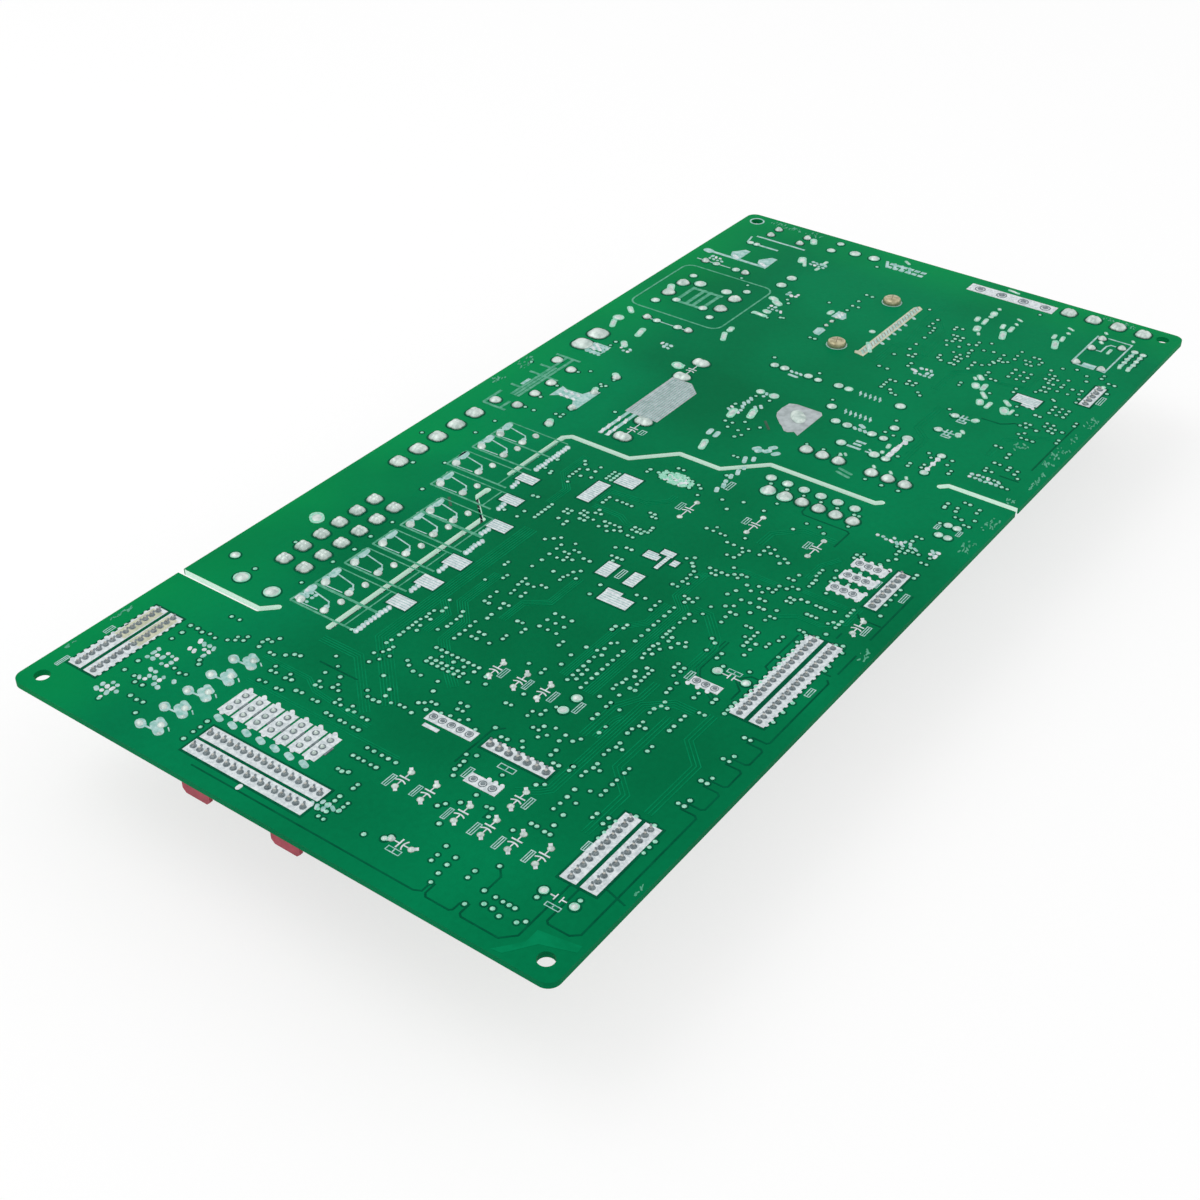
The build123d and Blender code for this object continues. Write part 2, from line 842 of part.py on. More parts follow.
def make_electrolytic_capacitors():
    """Small cans, flat against the board."""
    with BuildPart() as capacitors:
        with BuildSketch(Plane.XY.offset(underside - can_height)):
            with Locations(*can_places):
                Circle(can_diameter / 2)
        extrude(amount=can_height)
    return capacitors


def make_transistors():
    """Small moulded transistors: flat in front, three facets behind, three leads in line."""
    x, first_y = transistor_row
    half = transistor_width / 2
    places = [(x, first_y - i * transistor_row_pitch) for i in range(transistor_count)]
    top = underside - transistor_standoff
    with BuildPart() as transistors:
        for place, turn in [(p, 0) for p in places] + [(p, 90) for p in lone_transistors]:
            facing = level(*place, top - transistor_height).rotated((0, 0, turn))
            with BuildSketch(facing):
                with BuildLine():
                    Polyline(
                        (-half, -transistor_thickness / 3),
                        (half, -transistor_thickness / 3),
                        (half, 0),
                        (half / 2, 2 * transistor_thickness / 3),
                        (-half / 2, 2 * transistor_thickness / 3),
                        (-half, 0),
                        close=True,
                    )
                make_face()
            extrude(amount=transistor_height)
            with BuildSketch(facing.offset(transistor_height)):
                with GridLocations(transistor_lead_pitch, 1, 3, 1):
                    Rectangle(transistor_lead, transistor_lead)
            extrude(amount=transistor_standoff)
    return transistors


def make_film_capacitors():
    """Small potted boxes, flat against the board: one row across it, the others along it."""
    along = list(lone_film_caps)
    for x, first_y in (outer_film_cap_column, inner_film_cap_column):
        along += [(x, first_y - i * film_cap_column_pitch) for i in range(film_cap_column_count)]
    with BuildPart() as capacitors:
        with BuildSketch(Plane.XY.offset(underside - film_cap_height)):
            with Locations(film_cap_row):
                with GridLocations(film_cap_row_pitch, 1, film_cap_row_count, 1):
                    Rectangle(film_cap_thickness, film_cap_length)
            with Locations(*along):
                Rectangle(film_cap_length, film_cap_thickness)
        extrude(amount=film_cap_height)
    return capacitors


def make_microcontroller():
    """A flat square package, its first corner cut."""
    with BuildPart() as controller:
        with BuildSketch(level(*controller_place, underside - controller_thickness)):
            Rectangle(controller_side, controller_side)
            chamfer(vertices(), controller_corner)
        extrude(amount=controller_thickness)
    return controller


def make_driver_ics():
    with BuildPart() as drivers:
        with BuildSketch(Plane.XY.offset(underside - driver_thickness)):
            with Locations(*driver_places):
                Rectangle(driver_length, driver_width)
        extrude(amount=driver_thickness)
    return drivers


def write(piece, name):
    piece.part.label = name
    export_step(piece.part, f"parts/{name}.step")


os.makedirs("parts", exist_ok=True)
write(make_circuit_board(), "circuit_board")
for name, header in fine_headers.items():
    write(make_shroud(header, latched=header is latching_header), f"{name}_housing")
    write(make_pins(header, fine_pin, fine_pin_reach), f"{name}_pins")
for name, header in wire_headers.items():
    housing = make_wall_header(
        header, wire_pin, wire_base_width, wire_base_height, wire_wall_height, wire_wall, wire_end
    )
    write(housing, f"{name}_housing")
    write(make_pins(header, wire_pin, wire_pin_reach), f"{name}_pins")
for name, connector in power_connectors.items():
    housing = make_wall_header(
        connector,
        power_pin,
        power_base_width,
        power_base_height,
        power_wall_height,
        power_wall,
        power_end,
    )
    write(housing, f"{name}_housing")
    write(make_pins(connector, power_pin, power_pin_reach), f"{name}_pins")
for number, place in enumerate(relay_places(), start=1):
    write(make_relay(place, relay_width, relay_length, relay_height), f"relay_{number}")
write(make_relay(heater_relay_place, *heater_relay_size), "heater_relay")
write(make_relay(inrush_relay_place, *inrush_relay_size), "inrush_relay")
write(make_transformer_core(), "transformer_core")
write(make_transformer_bobbin(), "transformer_bobbin")
write(make_transformer_winding(), "transformer_winding")
write(make_choke_core(), "choke_core")
write(make_choke_base(), "choke_base")
write(make_choke_windings(), "choke_windings")
for number, place in enumerate(bulk_capacitor_places, start=1):
    write(make_bulk_capacitor(place), f"bulk_capacitor_{number}")
for number, place in enumerate(x_capacitor_places, start=1):
    write(make_x_capacitor(place), f"x_capacitor_{number}")
write(
    make_disc(varistor_place, varistor_diameter, varistor_thickness, varistor_lead_pitch),
    "varistor",
)
write(
    make_disc(thermistor_place, thermistor_diameter, thermistor_thickness, thermistor_lead_pitch),
    "thermistor",
)
write(make_y_capacitors(), "y_capacitors")
write(make_fuse(), "fuse")
write(make_bridge_rectifier(), "bridge_rectifier")
write(make_power_module(), "power_module")
write(make_heatsink(), "heatsink")
write(make_heatsink_screws(), "heatsink_screws")
write(make_electrolytic_capacitors(), "electrolytic_capacitors")
write(make_transistors(), "transistors")
write(make_film_capacitors(), "film_capacitors")
write(make_microcontroller(), "microcontroller")
write(make_driver_ics(), "driver_ics")
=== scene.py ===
"""Looks of the refrigerator control board, solder side up, in the frame of its solids."""

import math
import random

import bmesh
import bpy
from mathutils import Matrix, Vector


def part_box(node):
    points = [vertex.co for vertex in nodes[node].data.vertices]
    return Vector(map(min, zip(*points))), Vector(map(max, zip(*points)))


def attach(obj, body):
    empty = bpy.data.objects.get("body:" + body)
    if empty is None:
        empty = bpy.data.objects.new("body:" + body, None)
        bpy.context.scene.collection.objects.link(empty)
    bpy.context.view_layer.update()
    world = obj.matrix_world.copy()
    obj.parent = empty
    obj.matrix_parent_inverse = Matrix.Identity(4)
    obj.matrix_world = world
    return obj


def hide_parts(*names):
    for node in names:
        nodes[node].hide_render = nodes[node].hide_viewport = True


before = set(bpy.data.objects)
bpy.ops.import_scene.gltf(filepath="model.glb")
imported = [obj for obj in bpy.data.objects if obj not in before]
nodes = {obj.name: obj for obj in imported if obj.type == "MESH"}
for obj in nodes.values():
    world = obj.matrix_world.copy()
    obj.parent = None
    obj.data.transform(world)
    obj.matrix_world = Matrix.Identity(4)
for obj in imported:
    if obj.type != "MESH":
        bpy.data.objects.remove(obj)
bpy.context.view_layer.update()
MM = 0.001

board_low, board_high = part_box("circuit_board")
top = board_high[2] / MM
underside = board_low[2] / MM
half_length = board_high[0] / MM
half_width = board_high[1] / MM
hole_inset = 5.0  # mm, of the mounting holes from the edges
print_height = 0.03  # mm, of each layer of print over the board
stagger, stagger_steps = 0.001, 25  # mm, between slabs that may lie over each other
via_radii, via_height = (0.5, 0.64), 0.22
via_opening, pad_opening, block_opening = 0.34, 0.45, 0.5  # mm, from copper to the mask's edge


# ---- Materials ----


def srgb(red, green, blue):
    """A colour given as 0 to 255 on the screen, as the linear colour that the shader takes."""
    linear = []
    for value in (red, green, blue):
        value /= 255
        linear.append(value / 12.92 if value <= 0.04045 else ((value + 0.055) / 1.055) ** 2.4)
    return (*linear, 1.0)


def new_material(name):
    material = bpy.data.materials.new(name)
    material.use_nodes = True
    tree = material.node_tree
    shader = tree.nodes["Principled BSDF"]
    return material, tree, shader


def add(tree, kind, **values):
    node = tree.nodes.new(kind)
    for key, value in values.items():
        if key in node.inputs:
            node.inputs[key].default_value = value
        else:
            setattr(node, key, value)
    return node


def feed(tree, sockets, values):
    """Gives each input its value: another node's output, or a plain one."""
    for socket, value in zip(sockets, values):
        if isinstance(value, bpy.types.NodeSocket):
            tree.links.new(value, socket)
        else:
            socket.default_value = value


def reckon(tree, operation, *values):
    """The result of a Math node."""
    node = add(tree, "ShaderNodeMath", operation=operation)
    feed(tree, node.inputs, values)
    return node.outputs[0]


def mixed_colour(tree, factor, first, second, blend_type="MIX"):
    node = add(tree, "ShaderNodeMix", data_type="RGBA", blend_type=blend_type)
    feed(tree, (node.inputs[0], node.inputs[6], node.inputs[7]), (factor, first, second))
    return node.outputs[2]


def mixed_shader(tree, factor, first, second, output):
    """Puts a mix of two shaders in a material's or the world's output node."""
    node = add(tree, "ShaderNodeMixShader")
    feed(tree, node.inputs, (factor, first.outputs[0], second.outputs[0]))
    tree.links.new(node.outputs[0], tree.nodes[output].inputs["Surface"])


def parts_of(tree, source, output):
    """The X, Y and Z of a vector from a node of the kind source."""
    node = add(tree, "ShaderNodeSeparateXYZ")
    tree.links.new(add(tree, source).outputs[output], node.inputs["Vector"])
    return node.outputs


def noise(tree, scale, detail=3.0, stretch=(1, 1, 1)):
    """Noise over the object's own coordinates, in metres times scale."""
    place = add(tree, "ShaderNodeTexCoord")
    mapping = add(tree, "ShaderNodeMapping")
    mapping.inputs["Scale"].default_value = stretch
    texture = add(tree, "ShaderNodeTexNoise", Scale=scale, Detail=detail)
    tree.links.new(place.outputs["Object"], mapping.inputs["Vector"])
    tree.links.new(mapping.outputs["Vector"], texture.inputs["Vector"])
    return texture.outputs["Fac"]


def ramp(tree, factor, *stops):
    """A colour ramp through (position, colour) stops."""
    node = add(tree, "ShaderNodeValToRGB")
    elements = node.color_ramp.elements
    while len(elements) < len(stops):
        elements.new(0.5)
    for element, (position, colour) in zip(elements, stops):
        element.position = position
        element.color = srgb(*colour)
    tree.links.new(factor, node.inputs["Fac"])
    return node.outputs["Color"]


def bump(tree, shader, height, strength, distance):
    node = add(tree, "ShaderNodeBump", Strength=strength, Distance=distance)
    tree.links.new(height, node.inputs["Height"])
    tree.links.new(node.outputs["Normal"], shader.inputs["Normal"])


roughness_spread = 0.12
grain_depth = 0.0001  # metres


def finish(name, dark, light, roughness, metallic=0.0, scale=400, grain=0.15,
           stretch=(1, 1, 1), coat=0.0, specular=0.5):
    """A material whose colour and roughness wander between two values, over a fine grain."""
    material, tree, shader = new_material(name)
    shader.inputs["Metallic"].default_value = metallic
    shader.inputs["Coat Weight"].default_value = coat
    shader.inputs["Specular IOR Level"].default_value = specular
    factor = noise(tree, scale, stretch=stretch)
    tree.links.new(ramp(tree, factor, (0.35, dark), (0.65, light)), shader.inputs["Base Color"])
    wander = add(tree, "ShaderNodeMapRange")
    wander.inputs["To Min"].default_value = max(roughness - roughness_spread, 0.03)
    wander.inputs["To Max"].default_value = roughness + roughness_spread
    tree.links.new(noise(tree, scale / 3, stretch=stretch), wander.inputs["Value"])
    tree.links.new(wander.outputs["Result"], shader.inputs["Roughness"])
    bump(tree, shader, noise(tree, scale * 6, stretch=stretch), grain, grain_depth)
    return material


corner_room = 9.0  # mm, the corners that hold the mounting holes
far_painted_light, right_painted_light = 30, 22  # mm, over which the mask is painted lighter and yellower, as painted light
rim = 0.3  # mm, of the board's outside that keeps the mask's colour on its walls


def short_of(tree, place, room):
    """For X and Y, 1 where a place is at least room from the board's ends."""
    for axis, half in (("X", half_length), ("Y", half_width)):
        yield reckon(tree, "LESS_THAN", reckon(tree, "ABSOLUTE", place[axis]), (half - room) * MM)


def board_material():
    """Solder mask over copper: smooth green, with bare pale laminate inside the slots and holes, and a
    painted glow on that laminate.
    """
    material, tree, shader = new_material("solder_mask")
    shader.inputs["Specular IOR Level"].default_value = 0.012
    shader.inputs["Roughness"].default_value = 0.45
    broad = ramp(tree, noise(tree, 14, 2.0), (0.38, (0, 104, 63)), (0.62, (0, 122, 76)))
    fine = ramp(tree, noise(tree, 900, 4.0), (0.3, (225, 225, 225)), (0.7, (255, 255, 255)))
    green = mixed_colour(tree, 0.35, broad, fine, "MULTIPLY")
    place = parts_of(tree, "ShaderNodeTexCoord", "Object")
    # painted light: the mask is lighter and yellower, in patches, towards the far edge and the right end
    painted_light_rises = []
    for axis, end, reach in (("Y", half_width, far_painted_light), ("X", half_length, right_painted_light)):
        ends = {"From Min": (end - reach) * MM, "From Max": end * MM, "To Max": 0.8}
        rise = add(tree, "ShaderNodeMapRange", **ends)
        tree.links.new(place[axis], rise.inputs["Value"])
        painted_light_rises.append(rise.outputs[0])
    patchy_painted_light = reckon(tree, "MULTIPLY", reckon(tree, "MAXIMUM", *painted_light_rises), noise(tree, 30, 2.0))
    green = mixed_colour(tree, patchy_painted_light, green, srgb(2, 150, 72))
    # walls inside the outline are bare laminate, but not in the mounting holes; the same walls get the
    # painted glow below
    normal = parts_of(tree, "ShaderNodeNewGeometry", "Normal")
    is_wall = reckon(tree, "LESS_THAN", reckon(tree, "ABSOLUTE", normal["Z"]), 0.5)
    inside = reckon(tree, "MULTIPLY", *short_of(tree, place, rim))
    off_corner = reckon(tree, "MAXIMUM", *short_of(tree, place, corner_room))
    bare_and_glowing_wall = reckon(tree, "MULTIPLY", is_wall, reckon(tree, "MULTIPLY", inside, off_corner))
    colour = mixed_colour(tree, bare_and_glowing_wall, green, srgb(206, 224, 213))
    tree.links.new(colour, shader.inputs["Base Color"])
    # a painted glow on the bare walls, standing in for light seen through the slots
    shader.inputs["Emission Color"].default_value = srgb(182, 216, 200)
    tree.links.new(reckon(tree, "MULTIPLY", bare_and_glowing_wall, 0.36), shader.inputs["Emission Strength"])
    bump(tree, shader, noise(tree, 260, 4.0), 0.12, 0.0002)
    return material


mask = board_material()
trace_dark = finish("mask_over_gap", (0, 78, 52), (0, 92, 60), 0.45, scale=300, specular=0.012)
trace_light = finish("mask_over_trace", (0, 116, 72), (2, 128, 82), 0.4, scale=300, specular=0.012)
white_print = finish("white_print", (184, 194, 198), (220, 227, 229), 0.6, scale=1500, grain=0.3)
pale_print = finish("worn_print", (120, 176, 166), (176, 206, 204), 0.6, scale=900, grain=0.3)
solder = finish("solder", (164, 182, 176), (210, 222, 216), 0.45, metallic=0.3, scale=500, grain=0.08)
flux_solder = finish("solder_point", (104, 190, 158), (166, 216, 196), 0.4, metallic=0.1,
                     scale=1200, grain=0.2)
faint_print = finish("faint_print", (20, 136, 98), (84, 162, 132), 0.6, scale=700, grain=0.3)
dull_joint = finish("pin_joint", (120, 132, 136), (168, 178, 180), 0.45, metallic=0.3,
                    scale=900, grain=0.2)
# dull solder darkened with painted shade, for the pins' pads and the shadows beside them
shade_solder = finish("dull_solder_and_pin_shade", (78, 92, 98), (122, 136, 140), 0.45, scale=1500, grain=0.3)
pale_stripe = finish("sleeve_stripe", (150, 156, 166), (186, 190, 198), 0.4)
potting = finish("potting_resin", (176, 140, 48), (198, 164, 70), 0.55, scale=900, grain=0.4)
resistor_body = finish("resistor_body", (150, 176, 190), (176, 198, 208), 0.4)
# dark metal for the screws' cross recess: painted shade
recess_shade_metal = finish("screw_recess_shade", (70, 58, 40), (96, 82, 60), 0.5, metallic=0.5)
# dark green for the two short slits: painted shade
painted_slit_green = finish("painted_slit_shade", (0, 58, 34), (0, 72, 42), 0.6, scale=800)
grey_solder = finish("wide_solder", (148, 158, 160), (174, 184, 186), 0.5, metallic=0.2,
                     scale=500, grain=0.3)
stained_print = finish("stained_print", (170, 176, 150), (200, 202, 178), 0.6, scale=900, grain=0.3)
pin_metal = finish("tinned_pin", (150, 150, 146), (206, 206, 200), 0.3, metallic=0.9)
brassy = finish("screw_metal", (146, 140, 108), (190, 184, 150), 0.35, metallic=0.7, scale=700)
red_plastic = finish("red_plastic", (152, 38, 58), (170, 50, 70), 0.5, scale=500)
natural_plastic = finish("natural_plastic", (214, 208, 190), (232, 228, 214), 0.5)
blue_case = finish("blue_case", (28, 62, 128), (38, 76, 146), 0.45)
black_plastic = finish("black_plastic", (22, 22, 24), (38, 38, 41), 0.5)
ferrite = finish("ferrite", (46, 47, 50), (72, 73, 76), 0.65, scale=1200, grain=0.4)
yellow_tape = finish("yellow_tape", (206, 158, 30), (226, 184, 60), 0.3, scale=200,
                     stretch=(1, 1, 12), coat=0.3)
copper_wire = finish("copper_wire", (150, 74, 30), (206, 120, 62), 0.3, metallic=0.8,
                     scale=260, stretch=(1, 14, 1), grain=0.5)
dark_sleeve = finish("dark_sleeve", (16, 18, 30), (26, 28, 44), 0.3, coat=0.3)
yellow_box = finish("yellow_box", (206, 164, 44), (226, 188, 72), 0.4)
blue_coating = finish("blue_coating", (24, 60, 140), (36, 80, 168), 0.25, coat=0.5)
green_coating = finish("green_coating", (20, 62, 40), (34, 84, 56), 0.35, coat=0.3)
fuse_body = finish("fuse_body", (206, 200, 186), (226, 222, 210), 0.35)
aluminium = finish("aluminium", (168, 170, 174), (204, 206, 210), 0.35, metallic=0.95,
                   scale=300, stretch=(0.1, 6, 6))

node_materials = {
    "circuit_board": mask,
    "latching_header_housing": red_plastic,
    "heater_relay": black_plastic,
    "inrush_relay": black_plastic,
    "transformer_core": ferrite,
    "transformer_bobbin": black_plastic,
    "transformer_winding": yellow_tape,
    "choke_core": ferrite,
    "choke_base": black_plastic,
    "choke_windings": copper_wire,
    "electrolytic_capacitors": dark_sleeve,
    "film_capacitors": yellow_box,
    "varistor": blue_coating,
    "y_capacitors": blue_coating,
    "thermistor": green_coating,
    "fuse": fuse_body,
    "heatsink": aluminium,
    "heatsink_screws": brassy,
}


def node_material(name):
    if name in node_materials:
        return node_materials[name]
    if name.endswith("_pins"):
        return pin_metal
    if name.endswith("_housing"):
        return natural_plastic
    if name.startswith("relay_"):
        return blue_case
    if name.startswith("bulk_capacitor"):
        return dark_sleeve
    if name.startswith("x_capacitor"):
        return yellow_box
    return black_plastic


for name, node in nodes.items():
    for index in range(len(node.material_slots)):
        node.material_slots[index].material = node_material(name)


# ---- Shapes on the board ----


slot_of = dict.fromkeys(
    ("solder", "solder_point", "dull_solder_and_pin_shade", "pin_joint", "wide_solder", "tinned_pin"),
    "tinned_metal",
)
slot_of.update(
    (name, name) for name in ("blue_case", "black_plastic", "blue_coating", "green_coating",
                              "copper_wire", "screw_metal")
)
slot_of.update(dark_sleeve="sleeve", yellow_box="yellow_plastic")


def settle(name, mesh, material):
    """Puts a mesh in the scene as a piece of the one body."""
    piece = bpy.data.objects.new(name, mesh)
    bpy.context.scene.collection.objects.link(piece)
    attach(piece, "root")
    slot_of.get(material.name, "laminate")
    return piece


def heading(turn):
    """How far a direction in degrees goes along X and along Y."""
    return math.cos(math.radians(turn)), math.sin(math.radians(turn))


def mesh_of(name, points, faces, material):
    mesh = bpy.data.meshes.new(name)
    mesh.from_pydata(points, [], faces)
    mesh.materials.append(material)
    return mesh


class Flat:
    """Thin raised shapes on the board's solder side, gathered into one piece. Millimetres."""

    def __init__(self, name, material, layer=1, base=top, side=1):
        self.name, self.material = name, material
        self.base, self.side, self.rise = base, side, layer * print_height
        self.points, self.faces, self.count = [], [], 0

    def polygon(self, points):
        """A closed slab; each stands a hair higher than the last, so that no two faces meet."""
        area = sum(a[0] * b[1] - b[0] * a[1] for a, b in zip(points, [*points[1:], points[0]]))
        if area * self.side < 0:
            points = points[::-1]
        self.count += 1
        height = self.base + self.side * (self.rise + self.count % stagger_steps * stagger)
        first, size = len(self.points), len(points)
        for z in (self.base, height):
            self.points += [(x * MM, y * MM, z * MM) for x, y in points]
        self.faces.append(tuple(first + size + i for i in range(size)))
        self.faces.append(tuple(first + i for i in reversed(range(size))))
        for i in range(size):
            j = (i + 1) % size
            self.faces.append((first + i, first + j, first + size + j, first + size + i))

    def block(self, x0, y0, x1, y1):
        self.polygon([(x0, y0), (x1, y0), (x1, y1), (x0, y1)])

    def disc(self, x, y, radius, sides=18):
        turns = [2 * math.pi * i / sides for i in range(sides)]
        self.polygon([(x + radius * math.cos(t), y + radius * math.sin(t)) for t in turns])

    def ring(self, x, y, inner, outer, sides=20):
        for i in range(sides):
            a, b = 2 * math.pi * i / sides, 2 * math.pi * (i + 1) / sides
            self.polygon([
                (x + inner * math.cos(a), y + inner * math.sin(a)),
                (x + outer * math.cos(a), y + outer * math.sin(a)),
                (x + outer * math.cos(b), y + outer * math.sin(b)),
                (x + inner * math.cos(b), y + inner * math.sin(b)),
            ])

    def line(self, points, width):
        """A strip along a run of points, mitred where it turns."""
        runs = []
        for (x0, y0), (x1, y1) in zip(points, points[1:]):
            length = math.hypot(x1 - x0, y1 - y0)
            runs.append(((x1 - x0) / length, (y1 - y0) / length))
        sides = []
        for i, (x, y) in enumerate(points):
            before, after = runs[max(i - 1, 0)], runs[min(i, len(runs) - 1)]
            mx, my = -(before[1] + after[1]), before[0] + after[0]
            size = math.hypot(mx, my) or 1.0
            mx, my = mx / size, my / size
            reach = width / 2 / max(abs(-mx * after[1] + my * after[0]), 0.4)
            sides.append(((x + mx * reach, y + my * reach), (x - mx * reach, y - my * reach)))
        for (a, b), (c, d) in zip(sides, sides[1:]):
            self.polygon([b, d, c, a])

    def outline(self, points, width):
        self.line([*points, points[0]], width)

    def frame(self, x0, y0, x1, y1, width):
        self.outline([(x0, y0), (x1, y0), (x1, y1), (x0, y1)], width)

    def done(self):
        mesh = mesh_of(self.name, self.points, self.faces, self.material)
        return settle(self.name, mesh, self.material)


def grown(box, by):
    x0, y0, x1, y1 = box
    return x0 - by, y0 - by, x1 + by, y1 + by


class Domes:
    """Solder joints: each a low fillet that rises to a lead's tip. Millimetres."""

    profile = ((1.0, 0.0), (0.86, 0.28), (0.66, 0.58), (0.42, 0.84), (0.2, 0.97))

    def __init__(self, name, material, sides=14):
        self.name, self.material, self.sides = name, material, sides
        self.points, self.faces = [], []

    def dome(self, x, y, radius, height, long=1.0, turn=0.0):
        """One joint; long stretches it along the direction turn, in degrees."""
        first = len(self.points)
        c, s = heading(turn)
        for share, rise in self.profile:
            for i in range(self.sides):
                t = 2 * math.pi * i / self.sides
                u, v = radius * share * long * math.cos(t), radius * share * math.sin(t)
                self.points.append((
                    (x + u * c - v * s) * MM, (y + u * s + v * c) * MM, (top + rise * height) * MM
                ))
        self.points.append((x * MM, y * MM, (top + height) * MM))
        tip = len(self.points) - 1
        self.faces.append(tuple(first + i for i in reversed(range(self.sides))))
        for ring in range(len(self.profile) - 1):
            for i in range(self.sides):
                a = first + ring * self.sides + i
                b = first + ring * self.sides + (i + 1) % self.sides
                self.faces.append((a, b, b + self.sides, a + self.sides))
        last = first + (len(self.profile) - 1) * self.sides
        for i in range(self.sides):
            self.faces.append((last + i, last + (i + 1) % self.sides, tip))

    def done(self):
        mesh = mesh_of(self.name, self.points, self.faces, self.material)
        mesh.polygons.foreach_set("use_smooth", [True] * len(mesh.polygons))
        return settle(self.name, mesh, self.material)


def middle_of(box):
    return [(a + b) / 2 for a, b in zip(*box)]


def lead_tips(name):
    """Where a node's leads stand up through the board, in millimetres."""
    tips = []
    for vertex in nodes[name].data.vertices:
        x, y, z = (value / MM for value in vertex.co)
        if z < top + 0.5:
            continue
        for tip in tips:
            if math.hypot(tip[0] / tip[2] - x, tip[1] / tip[2] - y) < 0.95:
                tip[0] += x
                tip[1] += y
                tip[2] += 1
                break
        else:
            tips.append([x, y, 1])
    return [(x / n, y / n) for x, y, n in tips]


silk = Flat("white_print", white_print, layer=3)
worn = Flat("worn_print", pale_print, layer=2)
faint = Flat("faint_print", faint_print, layer=2)
shade = Flat("pin_shade", shade_solder, layer=5)
tinned = Flat("broad_solder", grey_solder, layer=2)
pads = Flat("solder_pads", flux_solder, layer=5)
gaps = Flat("pour_gaps", trace_dark)
halos = Flat("mask_openings", trace_dark)
ribs = Flat("print_ribs", pale_print, layer=5)
stains = Flat("flux_stains", stained_print, layer=4)
traces = Flat("trace_lines", trace_light)
slit_shade = Flat("slit_shade_strokes", painted_slit_green, layer=2)
joints = Domes("solder_joints", solder)
points = Domes("solder_points", flux_solder, sides=8)
pin_joints = Domes("pin_joints", dull_joint)


def row(y, *xs):
    """Places that share a Y."""
    return [(x, y) for x in xs]


def column(x, *ys):
    """Places that share an X."""
    return [(x, y) for y in ys]


# ---- Upper left: sensor header, its filters and the transistors' pads ----

# x, y of the small solder points, here and in the sections that follow
vias = [
    (-149, 54.5), (-147.6, 44.2), (-144.2, 49.6), (-144.4, 47.4), (-144.2, 45.6), (-138.8, 57.6),
    (-139, 54.2), (-140.4, 52.4), (-140.2, 50.2), (-134.8, 57.6), (-131.8, 49), (-132.4, 46.8),
    (-131.9, 45.2), (-127.6, 45.6), (-126.4, 46.6), (-124.6, 57.6), (-121.6, 57.4), (-118.6, 57.8),
    (-118.4, 55.6), (-118.8, 53.8), (-118.2, 51.8), (-118.6, 49.8), (-110.5, 52.6), (-110.3, 50.2),
    (-117.4, 46.9), (-116.4, 45.4), (-115.2, 45.8), (-115.4, 43.8), (-113.8, 44), (-114.9, 39.3),
    (-113.2, 39.9), (-111.8, 39.6), (-111.9, 38.2), (-109.9, 37.6), (-115, 35.8), (-115.1, 34.4),
    (-113.6, 32.2), (-112.2, 30.7), (-111.8, 29.3), (-119.6, 30.9), (-117.9, 31.1), (-119.5, 29.4),
    (-123.6, 30.6), (-123.3, 28.9), (-123.4, 25.5), (-123.2, 24.1), (-119.6, 26.4), (-118, 26.4),
    (-119.3, 24.8), (-147.4, 29.4), (-144.6, 29.4), (-142.6, 29.3), (-140.4, 29.5), (-97.6, 26.7),
    (-121.4, 21.4), (-121.2, 19.8), (-121.5, 16.3), (-121.4, 14.9), (-117.5, 19.3), (-115.9, 19.5),
    (-117.3, 17.8), (-112.9, 20.6), (-112.1, 16.8), (-115.8, 15.6), (-114.4, 15.3), (-115.9, 13.8),
    (-107.1, 22.7), (-109.6, 19.8), (-123.1, 10.7), (-123.2, 9.2), (-119.4, 11.6), (-118, 11.5),
    (-119.3, 10), (-123.2, 6.6), (-123.2, 5.2), (-119.6, 7.6), (-118, 7.6), (-119.3, 6), (-112, 8.7),
    (-113.6, 7.2), (-113.7, 5.5), (-113.5, 4), (-123.2, 2.7), (-123.2, 1.2), (-119.6, 3.4), (-119.6, 1.9),
    (-111.1, 4.2), (-108.9, 5), (-112.2, 1.6), (-106, 9.3), (-111.6, -0.4), (-111.6, -1.8),
    (-112.1, -4.2), (-104.2, 15.3), (-101.1, 16.6), (-102.1, 14), (-99.6, 15.2), (-98.2, 14.6),
    (-99.9, 12.9), (-96.6, 16.8), (-95.1, 16.6), (-96.9, 14.5), (-92.6, 16.4), (-98.7, 8.6), (-99.8, 7.2),
    (-100.9, 5), (-101, 2.7), (-100.4, -1.8), (-103.6, -3.2), (-108.6, -3.2), (-107.8, -4.3),
    (-106.7, -5.3), (-106.7, -6.7), (-109.4, -6.1), (-135, -3.8), (-135.1, -5), (-134.5, -6.3),
    *column(-130, -3.5, -5, -6.5, -8.5, -10), *column(-126.4, -4.3, -6.2, -8.4, -10.2, -12.3),
    (-146.4, -8.9), (-147.9, -10.4), (-146, -10.8), (-148, -11.9), (-144.3, -9.4), (-142.6, -10),
    (-141, -9.9), (-137.6, -10.5), (-136.2, -10.5), *row(-12.7, -144.4, -143, -141.6), (-108.4, -9.5),
    (-107.9, -11.7), (-107.8, -14.2), (-108.2, -19), (-106.6, -15.7), (-105.2, -11.5), (-105.1, -12.9),
    (-103.2, -10.7), (-103.2, -12.7), (-105.2, -22.1), (-106.8, -25), (-106.7, -26.6), (-97.3, -18.7),
    (-97.2, -20.1), (-97.9, -25.2), (-96.1, -25.2), (-146.4, -21.4), (-122.3, -24.6), (-120.6, -23.6),
    (-119.1, -23.7), (-117.6, -23.6), (-115.6, -22.6), (-114.6, -24.6), (-96.7, -7.4),
    *column(-93, -0.2, 3.2, -3.2, -6.2), (-92.8, -9.4), (-94.9, -11),
]
vias += [(-91.2, 6.4 - 1.57 * i) for i in range(9)]
vias += [(x, 5.0 - 1.6 * i) for x in (-96.3, -94.9) for i in range(7)]

# ---- Middle: around the controller ----

